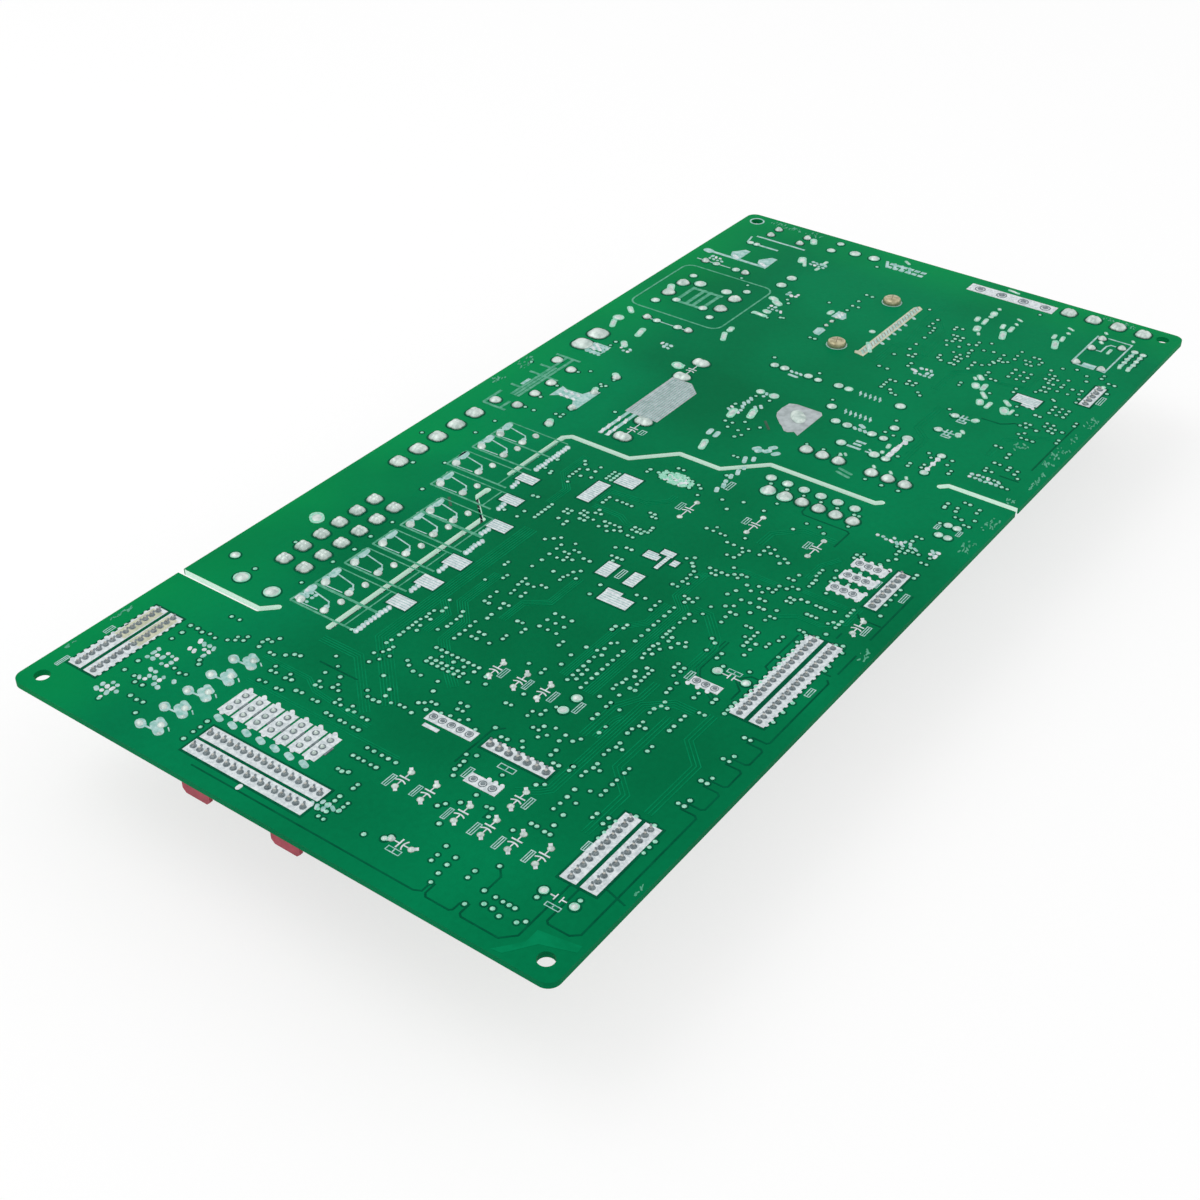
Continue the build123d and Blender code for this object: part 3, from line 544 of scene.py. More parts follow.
vias += [
    *row(16.4, -91.2, -89.4, -88), (-86.6, 16.5), (-85.1, 16.4), (-83.6, 15.9), (-82.3, 16.2),
    (-80.7, 16), (-88.9, 14.3), (-87, 14.9), (-83.8, 14.5), (-79.7, 14.4), (-78.2, 14.5), (-75.3, 15.8),
    (-85.8, 10.6), *row(9.6, -83.6, -82.2, -80.2, -78.7), (-77, 10.3), (-86.1, 5.4), (-84.2, 5.4),
    (-82.3, 5.3), (-80.3, 5.4), (-78.3, 5.5), (-83.2, 2.6), (-80.9, 2.3), (-83.2, 1.1), (-80.9, 0.7),
    (-82.8, -2.3), (-79.7, -3.8), (-78.2, -3.7), (-75.2, -5.7), (-73.7, -5.7), (-75.6, 4.1), (-73.9, 4.2),
    (-70.8, 4.1), (-72.3, -2.3), (-72.2, -3.7), (-63.9, 14.3), (-56.2, 14.4), (-54.8, 14.4),
    (-60.8, 11.2), (-59.3, 11.1), *row(8.9, -70.7, -68.6, -66.1), (-70.8, 7.5), (-68.8, 4.6),
    (-68.8, 3.1), (-64.6, 5.8), (-63.1, 5.9), (-64.2, 3.1), (-62.4, 3.1), (-60.8, 6.6), (-59.3, 6.6),
    (-57.7, 6.7), (-59.3, 4.9), (-59.3, 3), (-57.7, 1.9), (-57.8, 0.4), (-52.7, 8.6), (-51.4, 3.1),
    (-53.3, -0.3), (-51.9, -0.2), (-50.6, -0.7), (-48.8, -1), (-50.6, -3.1), (-47.4, -2.2), (-53.7, -9.5),
    (-49.2, -9.4), (-49.2, 8.3), (-46.1, 8.4), (-43.2, 8.3), (-41.2, 8.4), (-38.8, 5.8), (-46.3, 5.9),
    (-43.2, 5.9), (-46.2, 4), (-44.7, 4), (-43.2, 4.5), (-41.2, 4.4), (-44.8, 2.3), (-41.2, 2.9),
    (-41.6, 13.2), (-40.1, 11.6), (-38.7, 10.3), (-42.7, 0.4), (-42.8, -1.5), (-37.6, -4.4), (-37.6, -6),
    (-37.5, -7.4), (-39.2, -5.9), (-34.2, -3.1), (-32.7, -5.4), (-32.7, -6.9), (-37.7, 25.1),
    (-34.7, 25.1), (-32.1, 16.2), (-33.6, 13.5), (-32, 13.6), (-83.3, -14.2), (-84.4, -18.5),
    (-82.8, -18.4), (-92.6, -20), (-79.2, -20.3), (-75.2, -20), (-73.9, -15.6), (-72.3, -15.6),
    (-70.8, -21.1), (-61.9, -21.9), (-60.4, -21.9), *row(-23.8, -59.9, -58.4, -70.3), (-71.1, -25.7),
    (-68.8, -24.8), (-66.3, -24.8), (-65.3, -25.9), (-47.4, -18.8), (-47.3, -21.2), (-50.3, -24.8),
    (-48.3, -24.7), (-46.3, -24.7), (-38.7, -23.2), (-38.8, -24.7), (-36.4, -24.5), (-34.7, -24.6),
    (-32.9, -24.5), (-31.2, -24.4), (-36.4, -26.1), (-32.9, -26.2),
]
vias += [(-35.3 + 1.45 * i, 21.3) for i in range(6)]
vias += [(x, y) for x in (-70.8, -67.8, -64.8) for y in (-7.6, -10, -12.5)]
vias += [(-82.8 + 2.02 * i, -24.7) for i in range(6)]
vias += row(-26.2, -81.4, -79.4, -77.4)

silver = [  # larger tinned points: x, y, radius
    (-97.9, 62.1, 2.1), (-97.9, 52, 2.1), (-92.2, 70.1, 1.3), (-144.9, -25.6, 0.7), (-143.8, -26.4, 0.6),
    (114.6, 39.4, 1.6), (120.7, 39.3, 1.6),
]

# ---- Right half: supply, filters and compressor drive ----

vias += [
    (-28.9, 16.9), (-27.4, 16.9), (-28.9, 15.5), (-27.4, 15.5), (-27, 13), (-25.5, 13),
    *row(11.7, -29.1, -27.2, -25.7), (-29.1, 10.3), (-27.5, 10.4), (-24.6, 10), (-22.9, 10), (-27.5, 8.6),
    (-24.3, 8.5), (-29.1, 5.8), (-26.4, 5.8), (-27.9, 4.3), (-26.3, 4.3), (-29.6, 2.9), (-26.3, 2.8),
    (-28.3, 1.6), (-26.3, 1.3), (-27.6, 0.1), (-28.1, -2.5), (-28.1, -4), (-25.4, -1.9), (-24, -1.9),
    (-25.5, -3.4), (-24, -3.4), (-25.4, -4.7), (-24.2, -4.8), (-24.1, -5.8), (-22.9, -5.8), (-21.6, -5.6),
    (-16.3, -1.2), (-17.6, -2.6), (-16.3, -2.6), (-17.6, -3.8), *row(11.4, -19.6, -18.1, -16.6),
    *column(-16.6, 9, 7.3, 5.9, 4.4), *row(25.8, -14.7, -13.2, -11.7, -10.2), (-17, 24.6), (-7.4, 25.9),
    (-6.1, 27), (-12.7, 23.6), (-9.1, 23.9), (-11.7, 20.8), (-8.7, 21.7), (-6.2, 21.7), (-27.6, 27.8),
    (-27.4, 26.4), (-16.4, 30.9), (-15.4, 31.1), (-15.1, 33.4), (-9.9, 33.3), (-0.7, 10.7), (0.8, 10.6),
    (0.8, 8), (-0.8, 6.4), (2.7, 6.8), (5.6, 4.9), (5.6, 3.3), (2.5, -1.6), (-0.7, -2.6), (1.9, -3.9),
    (0.8, -5.2), (-2.3, -6.3), *row(17.4, -9.7, -8.4, -7.1, -5.9), *row(15.9, -9.7, -8.4, -7.1, -5.9),
    (-0.3, -12.6), (-3.3, -15.9), (1.9, -17.7), (-13.7, -16.6), (-13.7, -18.6), (-11.8, -18.5),
    (-13.7, -20.7), (-13.7, -22.1), (-15.9, -24.1), (-15.9, -26.1), (1.6, -24), (6.4, -25),
    (-11.8, -26.8), (-27.7, -19.9), (-26.3, -21.4), (-28.6, -22.1), (-29.6, -23.1), (19.6, -3.4),
    (19.6, -4.7), (10.2, -7.2), (31.4, 6.1), (28.1, 1.8), (31.5, 2.8), (29.9, 0.7), (33.8, 8.4),
    (34, 6.2), (36.4, 3.6), (33.7, 0.8), (36.3, -1.3), (43.3, 11.1), (50.4, 8.8), (50.4, 4.3),
    (72.9, 16.4), (72.5, 1), (61.4, -9.7), (36.4, -16.1), (36.7, -21.1), (36.6, -26.1), (86.6, -10.7),
    (86.5, -13.4), (95.5, -10.8), (76.1, -17.1), (77.7, -17.1), (79.3, -17), (81.2, -17.2), (81.3, -18.8),
    (76.2, -19.9), (74.6, -21.1), (74.3, -22.6), (81.9, -22.2), (83.8, -22), (82.1, -23.9), (83.8, -24.1),
    (91.6, -17.4), (93.5, -17.5), (97.4, -14.5), (97.3, -15.9), (99.2, -15.8), (101.1, -13),
    (104.9, -13.1), (110, -13.2), (113.7, -13.1), (115.5, -13.1), (117.3, -12.7), (117.3, -10.9),
    (119.6, -11), (122.6, -11.1), (112.3, -19.3), (109.8, -20.6), (112.9, -20.9), (114.7, -20.9),
    (116.7, -19.4), (116.7, -20.7), (120.1, -18), (121.7, -17.9), (121.7, -19.9), (116.6, -22.6),
    (114.6, -22.6), (101.3, -22.1), (103, -21.9), (100.3, -23.5), (107, -24.3), (110.9, -24.1),
    (113.9, -25.8), (102.9, -26.6), (106.6, -26.6), (100.6, -26.8), (127.3, -5.9), (113.1, 21.3),
    (99.4, 14.6), (103.3, 14.4), (111.9, 14.3), (115.5, 14.4), (115.6, 12.4), (119.3, 14.4),
    (124.6, 14.5), (124.4, 12.4), (144.1, 21.6), (95.6, 28.2), (95.9, 27.3), (107.2, 32.7), (105.2, 31.2),
    (93.1, 31.4), (93.3, 36.7), (108.3, 47.9), (111.5, 52.2), (34, 46.3), (29.9, 48), (29.9, 46.2),
    (29, 47.1), (13.4, 46.2), (9, 48.2), (8.5, 46.3), (10, 46.4), (34.3, 54.8), (31.8, 57.4),
    (21.8, 57.5), (14, 57.4), (7, 57.4), (7, 54.4), (-11.9, 59.8), (-4, 59.4), (-20.6, 71.5),
    (-28.9, 56.4), (28.6, 72), (19.6, 35.6), (-80.1, 48.9), (-73, 48.3), (-66.4, 48.9), (-58.4, 48.8),
    (-42.2, 52.8), (-33.7, 63.4), (-90.9, 49), (-93.4, 62.1), (-79.3, 62.2), (-37.2, 29.6), (53.2, 59.4),
    (50.5, 59.4),
]
vias += [(89.8 + 0.1 * i, 14.4 - 1.6 * i) for i in range(2)]

silver += [  # x, y, radius
    (10.2, -19.9, 2.1), (10.2, -24.9, 2.1), (16.1, -17.3, 1.45), (16.1, -22.3, 1.45), (16.1, -27.3, 1.45),
    (16.1, -32.3, 1.45), (16.1, -37.3, 1.45), (16.1, -42.3, 1.45), (51.6, -16.3, 1.35), (51.5, -20, 1.35),
    (57.9, -11.4, 1.4), (68.9, 13.9, 1.25), (69, 10.6, 1.35), (69, 2.7, 1.3), (68.7, -0.7, 1.1),
    (69.3, -7.1, 1.35), (42.5, -23.2, 1.4), (145.9, 39.5, 1.4), (152, 39.4, 1.2), (148.4, 32, 1.8),
    (148.9, 25.3, 1.8), (71.6, 57.3, 1.2), (71.7, 49.8, 1.3), (115.4, 64.2, 1.2), (115.4, 56.8, 1.3),
    (82.6, 65.4, 1.4), (103.7, 65.3, 1.2), (82.8, 45.6, 1.2), (104.1, 45.6, 1.2), (86.6, 60.3, 1.3),
    (86.7, 50.6, 1.4), (100.2, 60.4, 1.9), (100.3, 50.7, 1.7), (135.4, 63.8, 1.1), (135.4, 61.4, 1.1),
]
clustered = [  # crowded pads under surface-mounted parts: x0, y0, x1, y1
    (-149, 52.5, -142.2, 59.2), (-133, 50.4, -128, 58.2), (-139.2, 44.8, -135, 53.6),
    (-125.4, 46.4, -121, 53.2), (-96.4, 42, -92, 46), (-152, 8.2, -150.6, 11), (-151.6, -7, -150.4, -4.6),
    (10, -54.8, 8.6, -52.3), (8.8, -59.8, 11.2, -57.8), (8.4, -64, 11, -61), (8.6, -69, 11.6, -67.2),
    (47, -67, 50.6, -58.4), (88.4, -26.2, 91.6, -18.2), (92, -25, 94, -20.4), (89.6, -57.6, 91.4, -53.4),
    (96.6, 29.4, 101, 36.2), (132.6, 34.6, 136.4, 41.4), (49.4, 52.4, 53.4, 57.6),
    (50.6, 34.6, 54.2, 37.8), (39, 7.4, 42, 11.6), (51, 3.4, 54.6, 7.4), (117.2, 63.2, 121, 69.2),
    (-146.6, -13.4, -143, -5.6), (8, -63.4, 12, -53.6), (8.4, -69.4, 12.2, -66), (109.6, 31, 112.8, 35.4),
    (58.6, 44.2, 62, 48.6),
]
# slanting tinned places: x, y, length, width, degrees
slanted = [
    (-68.3, 65.4, 5.2, 3.8, 50), (4.1, 46.6, 4.4, 2, 30), (19.6, 6.3, 5.6, 1.9, 16),
    (38.4, 9.1, 5.6, 2.2, 12), (41.3, 4.4, 5.8, 2.2, 14), (75, 35.4, 5.8, 1.7, 25),
    (80, 36.2, 3.6, 1.9, 10), (53.4, 56.5, 4.2, 2, 40), (62.3, 56.9, 6, 2, 12), (62.5, 67, 5.6, 1.8, 25),
    (66.3, 67.8, 3.4, 3.6, 30), (72.7, 67.8, 4.6, 1.8, 45), (92.2, 66.2, 6, 2.4, 28),
    (97.3, 65, 3.4, 3, 20), (97.3, 45.9, 3.4, 3.2, 10), (134, 43.4, 4.6, 2.6, 20),
    (132.5, 41.6, 5, 1.2, 30), (131.2, 36.1, 2.6, 1.2, 0), (136.4, 36.2, 3, 1.2, 0),
    (148.2, 47.4, 4.6, 2.2, 30), (36.4, 47.2, 3.6, 2, 55), (96.4, 33.6, 3, 2.2, 70),
    (103.2, 34, 4.4, 2.4, 60), (105, 36.4, 3.6, 2.4, 70), (93.6, 34.4, 5.4, 1.6, 85),
    (52, 36.4, 4.4, 3.2, 65), (124.4, -23.3, 4, 2.2, 12), (136.2, -23.2, 3.4, 2.2, 12),
    (130.2, -20.6, 3.4, 1.6, 8), (130, -23.2, 4.4, 1.4, 6), (121.6, -25.1, 2, 1, 30),
    (140, -23.2, 1.6, 1.2, 30), (133.9, -23.3, 1.3, 1.6, 0), (53.2, 9, 2.4, 2.6, 50),
    (53.3, 4.6, 1.9, 3, 30), (56.8, 31.6, 3.8, 3.4, 20), (94.7, -2.8, 6.6, 1.3, 35),
    (25.9, 47.2, 3.8, 1.8, 20), (107.4, 17.5, 3.2, 1.8, 0), (104, 1.2, 2, 2, 40),
    (69.3, -10.4, 1.4, 2.6, 0), (152.4, 15, 3.2, 1, 55),
]

# ---- Near side: display, main and fan headers ----

vias += [
    (-131.3, -27.9), (-129.9, -28.9), (-135.1, -31.6), (-127.8, -31.1), (-124.1, -32.3), (-125.6, -36.2),
    (-125.4, -37.4), (-127.7, -38.4), (-144, -37.1), (-142.1, -37.1), (-139.2, -36.9), (-148.6, -40.9),
    (-145.9, -40.5), (-143.1, -40.4), (-140.6, -40.5), (-143.4, -45.9), (-141.2, -45.9), (-149.2, -49.9),
    (-144.2, -50.7), (-137.3, -49), (-147, -52.9), (-147, -55), (-147.8, -57.2), (-144.3, -53.6),
    *column(-144.4, -55.5, -57, -58.4), (-147.1, -60.9), (-145.9, -62.2), (-127.8, -44.8),
    (-124.1, -46.6), (-124.1, -48), (-124.4, -50.2), (-124.4, -51.6), (-121.8, -50.6), (-118, -47.6),
    (-115.9, -47.7), (-113.5, -47.7), (-110.8, -47.6), (-118.3, -50.3), (-114, -50.3), (-109.3, -50.5),
    *row(-53, -109, -107.3, -105, -103.3, -100.6, -98.9), (-115.4, -55.5), (-113.9, -55.6),
    (-115.6, -58.3), (-113.6, -58.3), *row(-60, -119.5, -117.5, -115.5, -113.5), (-109.9, -62.5),
    (-109.9, -67), *row(-69.7, -117.6, -115.6, -113.6), (-135.4, -67.3), (-139.6, -60), (-106.8, -30.8),
    (-105.2, -29.5), (-116.2, -32.8), (-114.4, -40.3), (-113.3, -41.7), (-106.9, -39.1), (-106.9, -40.5),
    (-106.8, -43.2), (-105.3, -43.2), (-105.2, -37.1), (-103.3, -37.1), (-102.2, -31.4), (-100.3, -28.6),
    (-100.3, -30.1), (-98.6, -30.3), (-100.6, -32.6), (-97.6, -32.7), (-100.5, -35.8), (-98.2, -35.8),
    (-98.9, -38.2), (-97.3, -39.2), (-93.3, -41.1), (-90.9, -41.1), (-94.2, -27.3), (-95.9, -27.3),
    (-106.6, -46.2), (-105, -46.2), (-103.1, -46.8), (-101.6, -46.7), (-103.1, -48.4), (-91.9, -28.5),
    (-84.5, -40.2), (-83.3, -34), (-79.4, -34.8), (-77.9, -34.6), (-76.4, -35.2), (-74.9, -35.2),
    (-73.1, -36.2), (-71.3, -35.2), (-68.9, -36.7), *row(-37.2, -90.4, -88.5, -85.3, -83.6, -80.4),
    (-77, -37.7), (-77, -39.1), (-75, -38.2), (-73.4, -38.2), *row(-38.1, -71.9, -70.4, -68.9),
    (-66.5, -33.7), *row(-33.2, -64.9, -63, -61.4), (-60, -33.6), (-64, -34.7), (-61.5, -35.1),
    *row(-33.1, -57.4, -55.9, -54.5, -53, -50.4, -48.4, -46.4), (-57.8, -35), (-56.2, -34.9),
    (-59.5, -36.8), (-57.2, -37.3), (-55.8, -38.5), (-57.3, -39.3), *row(-35.6, -47.9, -44.4, -40.9),
    (-43.1, -29.6), (-41.4, -29.6), (-41, -28.2), (-41.9, -31.1), (-39.9, -31.1), (-65, -41.5),
    (-63.4, -41.5), (-67.6, -43), (-65.5, -43.5), (-64, -43.5), (-73.5, -45.1), (-71.9, -45),
    (-69.4, -45.1), (-55.4, -43.9), (-52.1, -44), (-51, -42.5), (-44.5, -40.8), (-42.2, -40.5),
    (-40, -40.4), (-40, -42), (-38.6, -38.2), (-37.4, -39.8), (-34.3, -36), (-34.3, -39.9),
    (-31.9, -36.9), (-34.1, -42.2), (-37.4, -44.3), (-34.4, -44.8), (-34.4, -46.2), (-31.4, -43.2),
    (-31.4, -44.7), (-56.5, -47.4), (-54.5, -47.4), (-42.3, -46.3), (-42.3, -47.6), (-46, -48.3),
    *row(-49.8, -49.1, -47.5, -46, -44.5, -42.9), *row(-51.8, -51.9, -49.4, -46.9), (-37.8, -48.7),
    (-35.9, -48.8), (-35.9, -50.1), (-33, -48.9), (-71.4, -51), (-69.5, -51), (-75, -54.8), (-75, -56.2),
    (-70.4, -55.2), (-69, -55.2), (-46.4, -54.2), (-45, -54.2), (-42.7, -55.4), (-40.9, -55.4),
    (-56.4, -56.1), (-58.2, -50.2), (-48, -58.5), (-40.6, -59), (-36.4, -57.1), (-36.5, -58.4),
    (-37.2, -59.4), (-72, -59.4), *row(-59.3, -70.5, -69.1, -67.5), (-36.3, -61.9), (-36.3, -66.8),
    (-35.7, -68.3), (-34.1, -62.9), *row(-69.5, -68.2, -64.1, -60.1, -46.1, -44.1, -38.1),
    *row(-52.9, -83.8, -82, -79.4, -77.8, -92.1, -90.3), *column(-30, -55.4, -56.6, -57.9),
    (-30.3, -61.2), (-29.1, -62), *row(-63.4, -30.6, -29.1, -27.7, -25, -23.5, -22.1), (-25.3, -60.1),
    *column(-25.8, -55.4, -56.7, -58, -51.3, -53.1), (-28.4, -48.8), (-26.7, -48.8), (-28.4, -50),
    (-26.9, -50), (-22.6, -47), (-22.6, -48.6), (-24.1, -46.3), (-24.2, -44.3), (-25.9, -44.4),
    (-27.3, -44.3), (-26.6, -42.7), (-28.8, -42.3), (-27.2, -40.4), (-29.9, -39.8), (-28.4, -37.8),
    (-25.6, -36), (-25.6, -34.5), (-27.3, -34.4), (-26.5, -33),
    *column(-27.7, -31.8, -30.1, -28.4, -26.7), (-29.4, -28.2), (-29.4, -29.5), (-24.2, -31.4),
    (-20.5, -27), (-20.5, -29), (-18.8, -29.5), (-17.3, -29.5), (-15.9, -28.5), (-15.9, -30.5),
    *row(-33.5, -15.8, -13.7, -11.7), (-13.7, -35.4), (-11.7, -35.4), (-13.7, -37.4), (-13.7, -39.4),
    (-16, -39.4), (-14.7, -40.9), (-1.2, -34.3), (3, -35.8), (3.5, -39.2), (1.6, -41.5), (-20.1, -44.4),
    (-20.1, -45.8), (-17.5, -45.8), *row(-50.1, -20.1, -18.5, -16.9), *row(-49.3, -15.3, -13.8, -12.3),
    (-10.5, -52.1), (-13.4, -53.3), (-15.3, -53.3), (-20.1, -54.8), (-3.2, -52.9), (-1.6, -52.8),
    (-1.8, -54.1), (-0.4, -54.1), (-7.9, -57.3), (-13.8, -57.4), (-1.9, -59.4), (0.8, -60.2),
    (2.4, -61.5), *row(-60.5, 4.3, 5.9, 7.4), (7.4, -59), (6, -62), (7.4, -62.1), (8.9, -62.1),
    (7.4, -63.4), (7.4, -65), (11.8, -61), (14.1, -60.9), (14.1, -62.4), (4.7, -67.1), (4.7, -68.6),
    (7.6, -68), (23.1, -62.8), (27.8, -64.7), (27.7, -66.5), (25.8, -68.1), (25.8, -69.5), (29.2, -69.5),
    (30.8, -60.3), (30.3, -63.6), (32, -63.3), *row(-68.5, -15.9, -13.4, -10.9, -8.4), (-2.2, -68.8),
    (-0.6, -68.8), (-20.4, -69.6), *column(13.7, -18.7, -23.6, -28.6, -33.7, -38.5), (13.6, -43.5),
    (8, -44.9), (13.7, -44.8), (30.2, -37.4), (30, -42.3), (30.2, -47.1),
]
vias += [(-83.3 + 2.03 * i, -28.8) for i in range(9)]
vias += row(-28.8, -62.3, -59.8, -57.1, -54.8, -52.9, -50.4, -48.3, -46.3)
for x in (-98.4, -89.8, -81.4):
    vias += [(x, -46.1), (x + 1.7, -46.1), (x + 3.4, -46.8), (x + 5, -46.7), (x + 3.5, -48.3)]
for x in (-101.6, -93.1, -84.6, -76.2):
    vias += [(x, -67.2), (x, -68.7)]
vias += row(-68.7, -99.5, -91.1, -82.6)
vias += [(-64.1 + 2 * i, -60) for i in range(5)]
vias += row(-60, -52.1, -50.1, -48.1, -46.1, -44.1)

silver += [
    (-137.4, -60, 1.05), (-137.4, -67.4, 1.05), (-60.4, -50.1, 1.25), (-60.4, -57.6, 1.15),
    (-91.9, -30.4, 1.3), (-86.9, -30.4, 1.3), (18.1, -65, 1.15), (23.3, -65, 1.15), (18.1, -67.5, 1.15),
    (23.3, -67.5, 1.15),
]

# ---- Near side, right of the last slot: compressor sense and drive ----

vias += [
    (42.7, -43.3), (44.2, -43.2), (49.2, -51.6), (51.9, -51.7), (45.5, -53.8), (47.1, -53.8), (50, -46.4),
    (51.8, -44.9), (44, -46.6), (45.8, -46.6), (45.3, -38.9), (54.2, -32.8), (54.6, -30.1), (61.8, -29.7),
    (76.2, -38.6), (78.1, -28.3), (79.4, -27), (90.1, -34.5), (91.7, -34.3), (99.9, -38.1), (101.9, -38),
    (98.7, -40.2), (98.6, -41.8), (100.2, -26.3), (100.2, -27.8), (102.7, -27.9), (104.7, -27.9),
    (104.8, -26.3), (107, -28.8), (109.1, -28.1), (111.1, -28.1), (114.9, -27.8), (116.9, -27.7),
    (100.4, -32.2), (102.9, -32.2), (104.9, -32.1), (104.7, -34.5), (106.2, -36.2), (108.4, -36.2),
    (108, -36.8), (113.2, -31), (118.5, -31), (114, -33.8), (110, -37.3), (111.4, -37.1), (114, -37.1),
    (109.9, -38.7), (110.8, -39.8), (113.6, -40.7), (116, -40.5), (119, -40.5), (112.8, -44.7),
    (112.8, -46.2), (114.8, -43.6), (114.8, -45), (118, -44.9), (118, -46.5), (114.8, -47.8),
    (116.4, -48), (95.6, -48.8), (97.8, -48.6), (99.4, -53.8), (101, -54.6), (103.4, -54.6),
    (101.1, -56.1), (103.4, -56.1), (103.4, -58.6), (106.3, -54.6), (107.9, -54.3), (109.4, -54.6),
    (111.2, -54.4), (106.2, -56.1), (109.3, -56.1), (108.1, -52.9), (111.1, -52.8), (113.7, -52.1),
    *row(-58.6, 106.2, 107.9, 111.1), (116.7, -54.4), (118.5, -58), (103.5, -61.7), (106.9, -61.7),
    (113.6, -63), (116.6, -61.8), (105.4, -64.3), (107.6, -64.2), (98.2, -59.6), (97.8, -60.2),
    (117.6, -65.9), (119.6, -65.9), (116, -68.7), (115.9, -70.5), (110.3, -70.6), (102.8, -65.5),
    (100.5, -65.6), (144.2, -34.7), (30.2, -60.4), (32.5, -60.3), (35.4, -63.7), (35.3, -65.2),
    (32.7, -68.3), (34.5, -68.3), (47.9, -60.6), (49.6, -60.6), (47.9, -63.6), (49.6, -63.6),
    (49.3, -66.4), (49.6, -65), (47.8, -68), (47.7, -69.6), (53.9, -69.6), (55.4, -68), (57.2, -68.1),
    (56.4, -65.6), (57.9, -65.6), (57.7, -61.2), (57.6, -62.8), (61.9, -62.7), (64, -62.5), (65.9, -57.6),
    (65.8, -59.2), *column(73.7, -61.4, -63, -64.7), (75.2, -59.9), (76.5, -61.1), (79.7, -58.3),
    (79.6, -60.1), (79.6, -63.1), (81.6, -59), (81.6, -60.4), (87.3, -59.3), (87.2, -60.7), (83.1, -64),
    (85.1, -63.9), *row(-65.8, 81.4, 83.1, 85), (81, -67.2), (83.1, -67.1), (83, -69.2), (76.7, -70.3),
    (78.5, -70.2), (88, -70.5), (89.8, -70.4), (84.3, -55.1), (88.6, -53.1), (91, -43.6), (52.6, -60.9),
    (54, -60.7), (53, -62.6),
]
vias += [(x, y) for x in (103, 105.5, 108) for y in (-43.7, -46.2, -48.5)]
vias += [(x, y) for x in (90.7, 92.8, 94.8) for y in (-61.9, -64, -66)]

silver += [
    (69.4, -26.8, 1.5), (51.4, -27.7, 1.35), (51.2, -31.4, 1.2), (57.8, -31.2, 1.3), (42.3, -33.4, 1.5),
    (42.2, -36.9, 1.25), (55, -36.7, 1.5), (42.1, -48.4, 1.2), (52.3, -48.3, 1.2), (64.4, -41.2, 1.2),
    (73.8, -41.5, 1.2), (138.4, -67.4, 1.1), (138, -70.1, 1), (130.5, -67.4, 0.8), (135.4, -67.4, 0.8),
    (130.4, -70.1, 0.8), (135.5, -70.1, 0.8), (132.8, -67.3, 0.8), (132.9, -70, 0.8),
]
slanted += [
    (64.7, -47, 2.6, 1.8, 20), (66.9, -47.2, 2.2, 1.2, 40), (74.5, -47.3, 2.6, 2, -30),
    (125, -31.4, 5.6, 2, 18), (130.2, -29, 3.4, 1.5, 10), (130, -31.8, 4, 1.5, 6),
    (133.9, -31.8, 1.6, 1, 50), (137, -31.4, 2.4, 0.9, 65), (128.8, -46.5, 5.8, 2, 18),
    (133.4, -44.2, 3.2, 1.3, 8), (133.4, -46.8, 3.6, 1.3, 8), (137.8, -46.8, 1.6, 1.1, 60),
    (140.8, -46.3, 2.6, 0.9, 65), (127.4, -67.3, 3, 1.2, 12), (127.4, -69.9, 3, 1.3, 8),
    (134.2, -61.2, 3.6, 1, 0), (138.3, -57, 2, 1.2, 45), (144.6, -55.9, 1.8, 1, 40),
    (144.3, -64.5, 1.6, 1, 40), (97.6, -37.6, 3.4, 1.7, 45), (96.2, -36.6, 2, 1, 45),
    (92.5, -38.6, 3.6, 2.4, 30), (93, -40.9, 4.4, 1.6, 5), (88.8, -42.9, 4.2, 1.4, 42),
    (84.6, -43.7, 3.6, 2.2, 25), (84.4, -46.4, 4.2, 1.4, 0), (84.2, -51.4, 4.4, 2.6, 30),
    (88.6, -50.2, 3.8, 1.4, 50), (84.6, -53.2, 3.4, 1, 0), (44.6, -34.6, 1.6, 1.2, 20),
    (48.3, -34.5, 2.6, 1.2, 12), (37, -26.2, 1.6, 0.8, 45), (37.8, -27.2, 1.6, 0.8, 45),
    (36.8, -36.4, 1.8, 0.9, 45), (36.8, -41.4, 1.8, 0.9, 45), (36.8, -46, 1.8, 0.9, 35),
    (112.6, -68.3, 2.6, 1.4, 0), (153.6, -21.6, 4.4, 1, 80),
]

# ---- Blocks, crosses, strips and boxes of print ----

bright = [  # ribbed white blocks: x0, y0, x1, y1
    (-54.2, -20.1, -50.3, -11.8), (-50.3, -16, -49, -11.6), (-45.9, -8.7, -39.9, -5.3),
    (-45.6, -16.2, -40, -13.2), (-21.8, 14.4, -11.9, 18.2), (-10.2, 8.8, -5, 14.8),
    (91.3, -57.8, 95.6, -50.1), (-34.4, 28, -30.8, 33.8), (-24, 30.9, -20.6, 36.6),
    (-45.8, 22.8, -42, 28.8), (-85, 21.4, -80.6, 27.4), (-74.9, 21.4, -70.6, 27.4),
    (-64.6, 21.4, -60, 27.4), (90, -57.2, 91.3, -53.6),
]
crossed = [  # a cross of the same blocks between surface-mounted parts
    (-33.2, -13.6, -30.3, -10.4), (-35.8, -16.7, -28.4, -15.6), (-32.6, -19.8, -30.2, -18),
    (-29.8, -17, -27.6, -13.4), (-33, -14.6, -31, -11.8),
]
coil_strips = [  # x0, x1, y of the strips of strokes beside the relays' coils
    (-98, -85, 25.4), (-78.5, -74.9, 25.6), (-68.4, -64.6, 25.6), (-58.5, -50, 25.3), (-49.8, -46, 27.4),
    (-38.4, -34.4, 31.2), (-28.2, -24, 34.8), (-17.8, -2, 34.8),
]
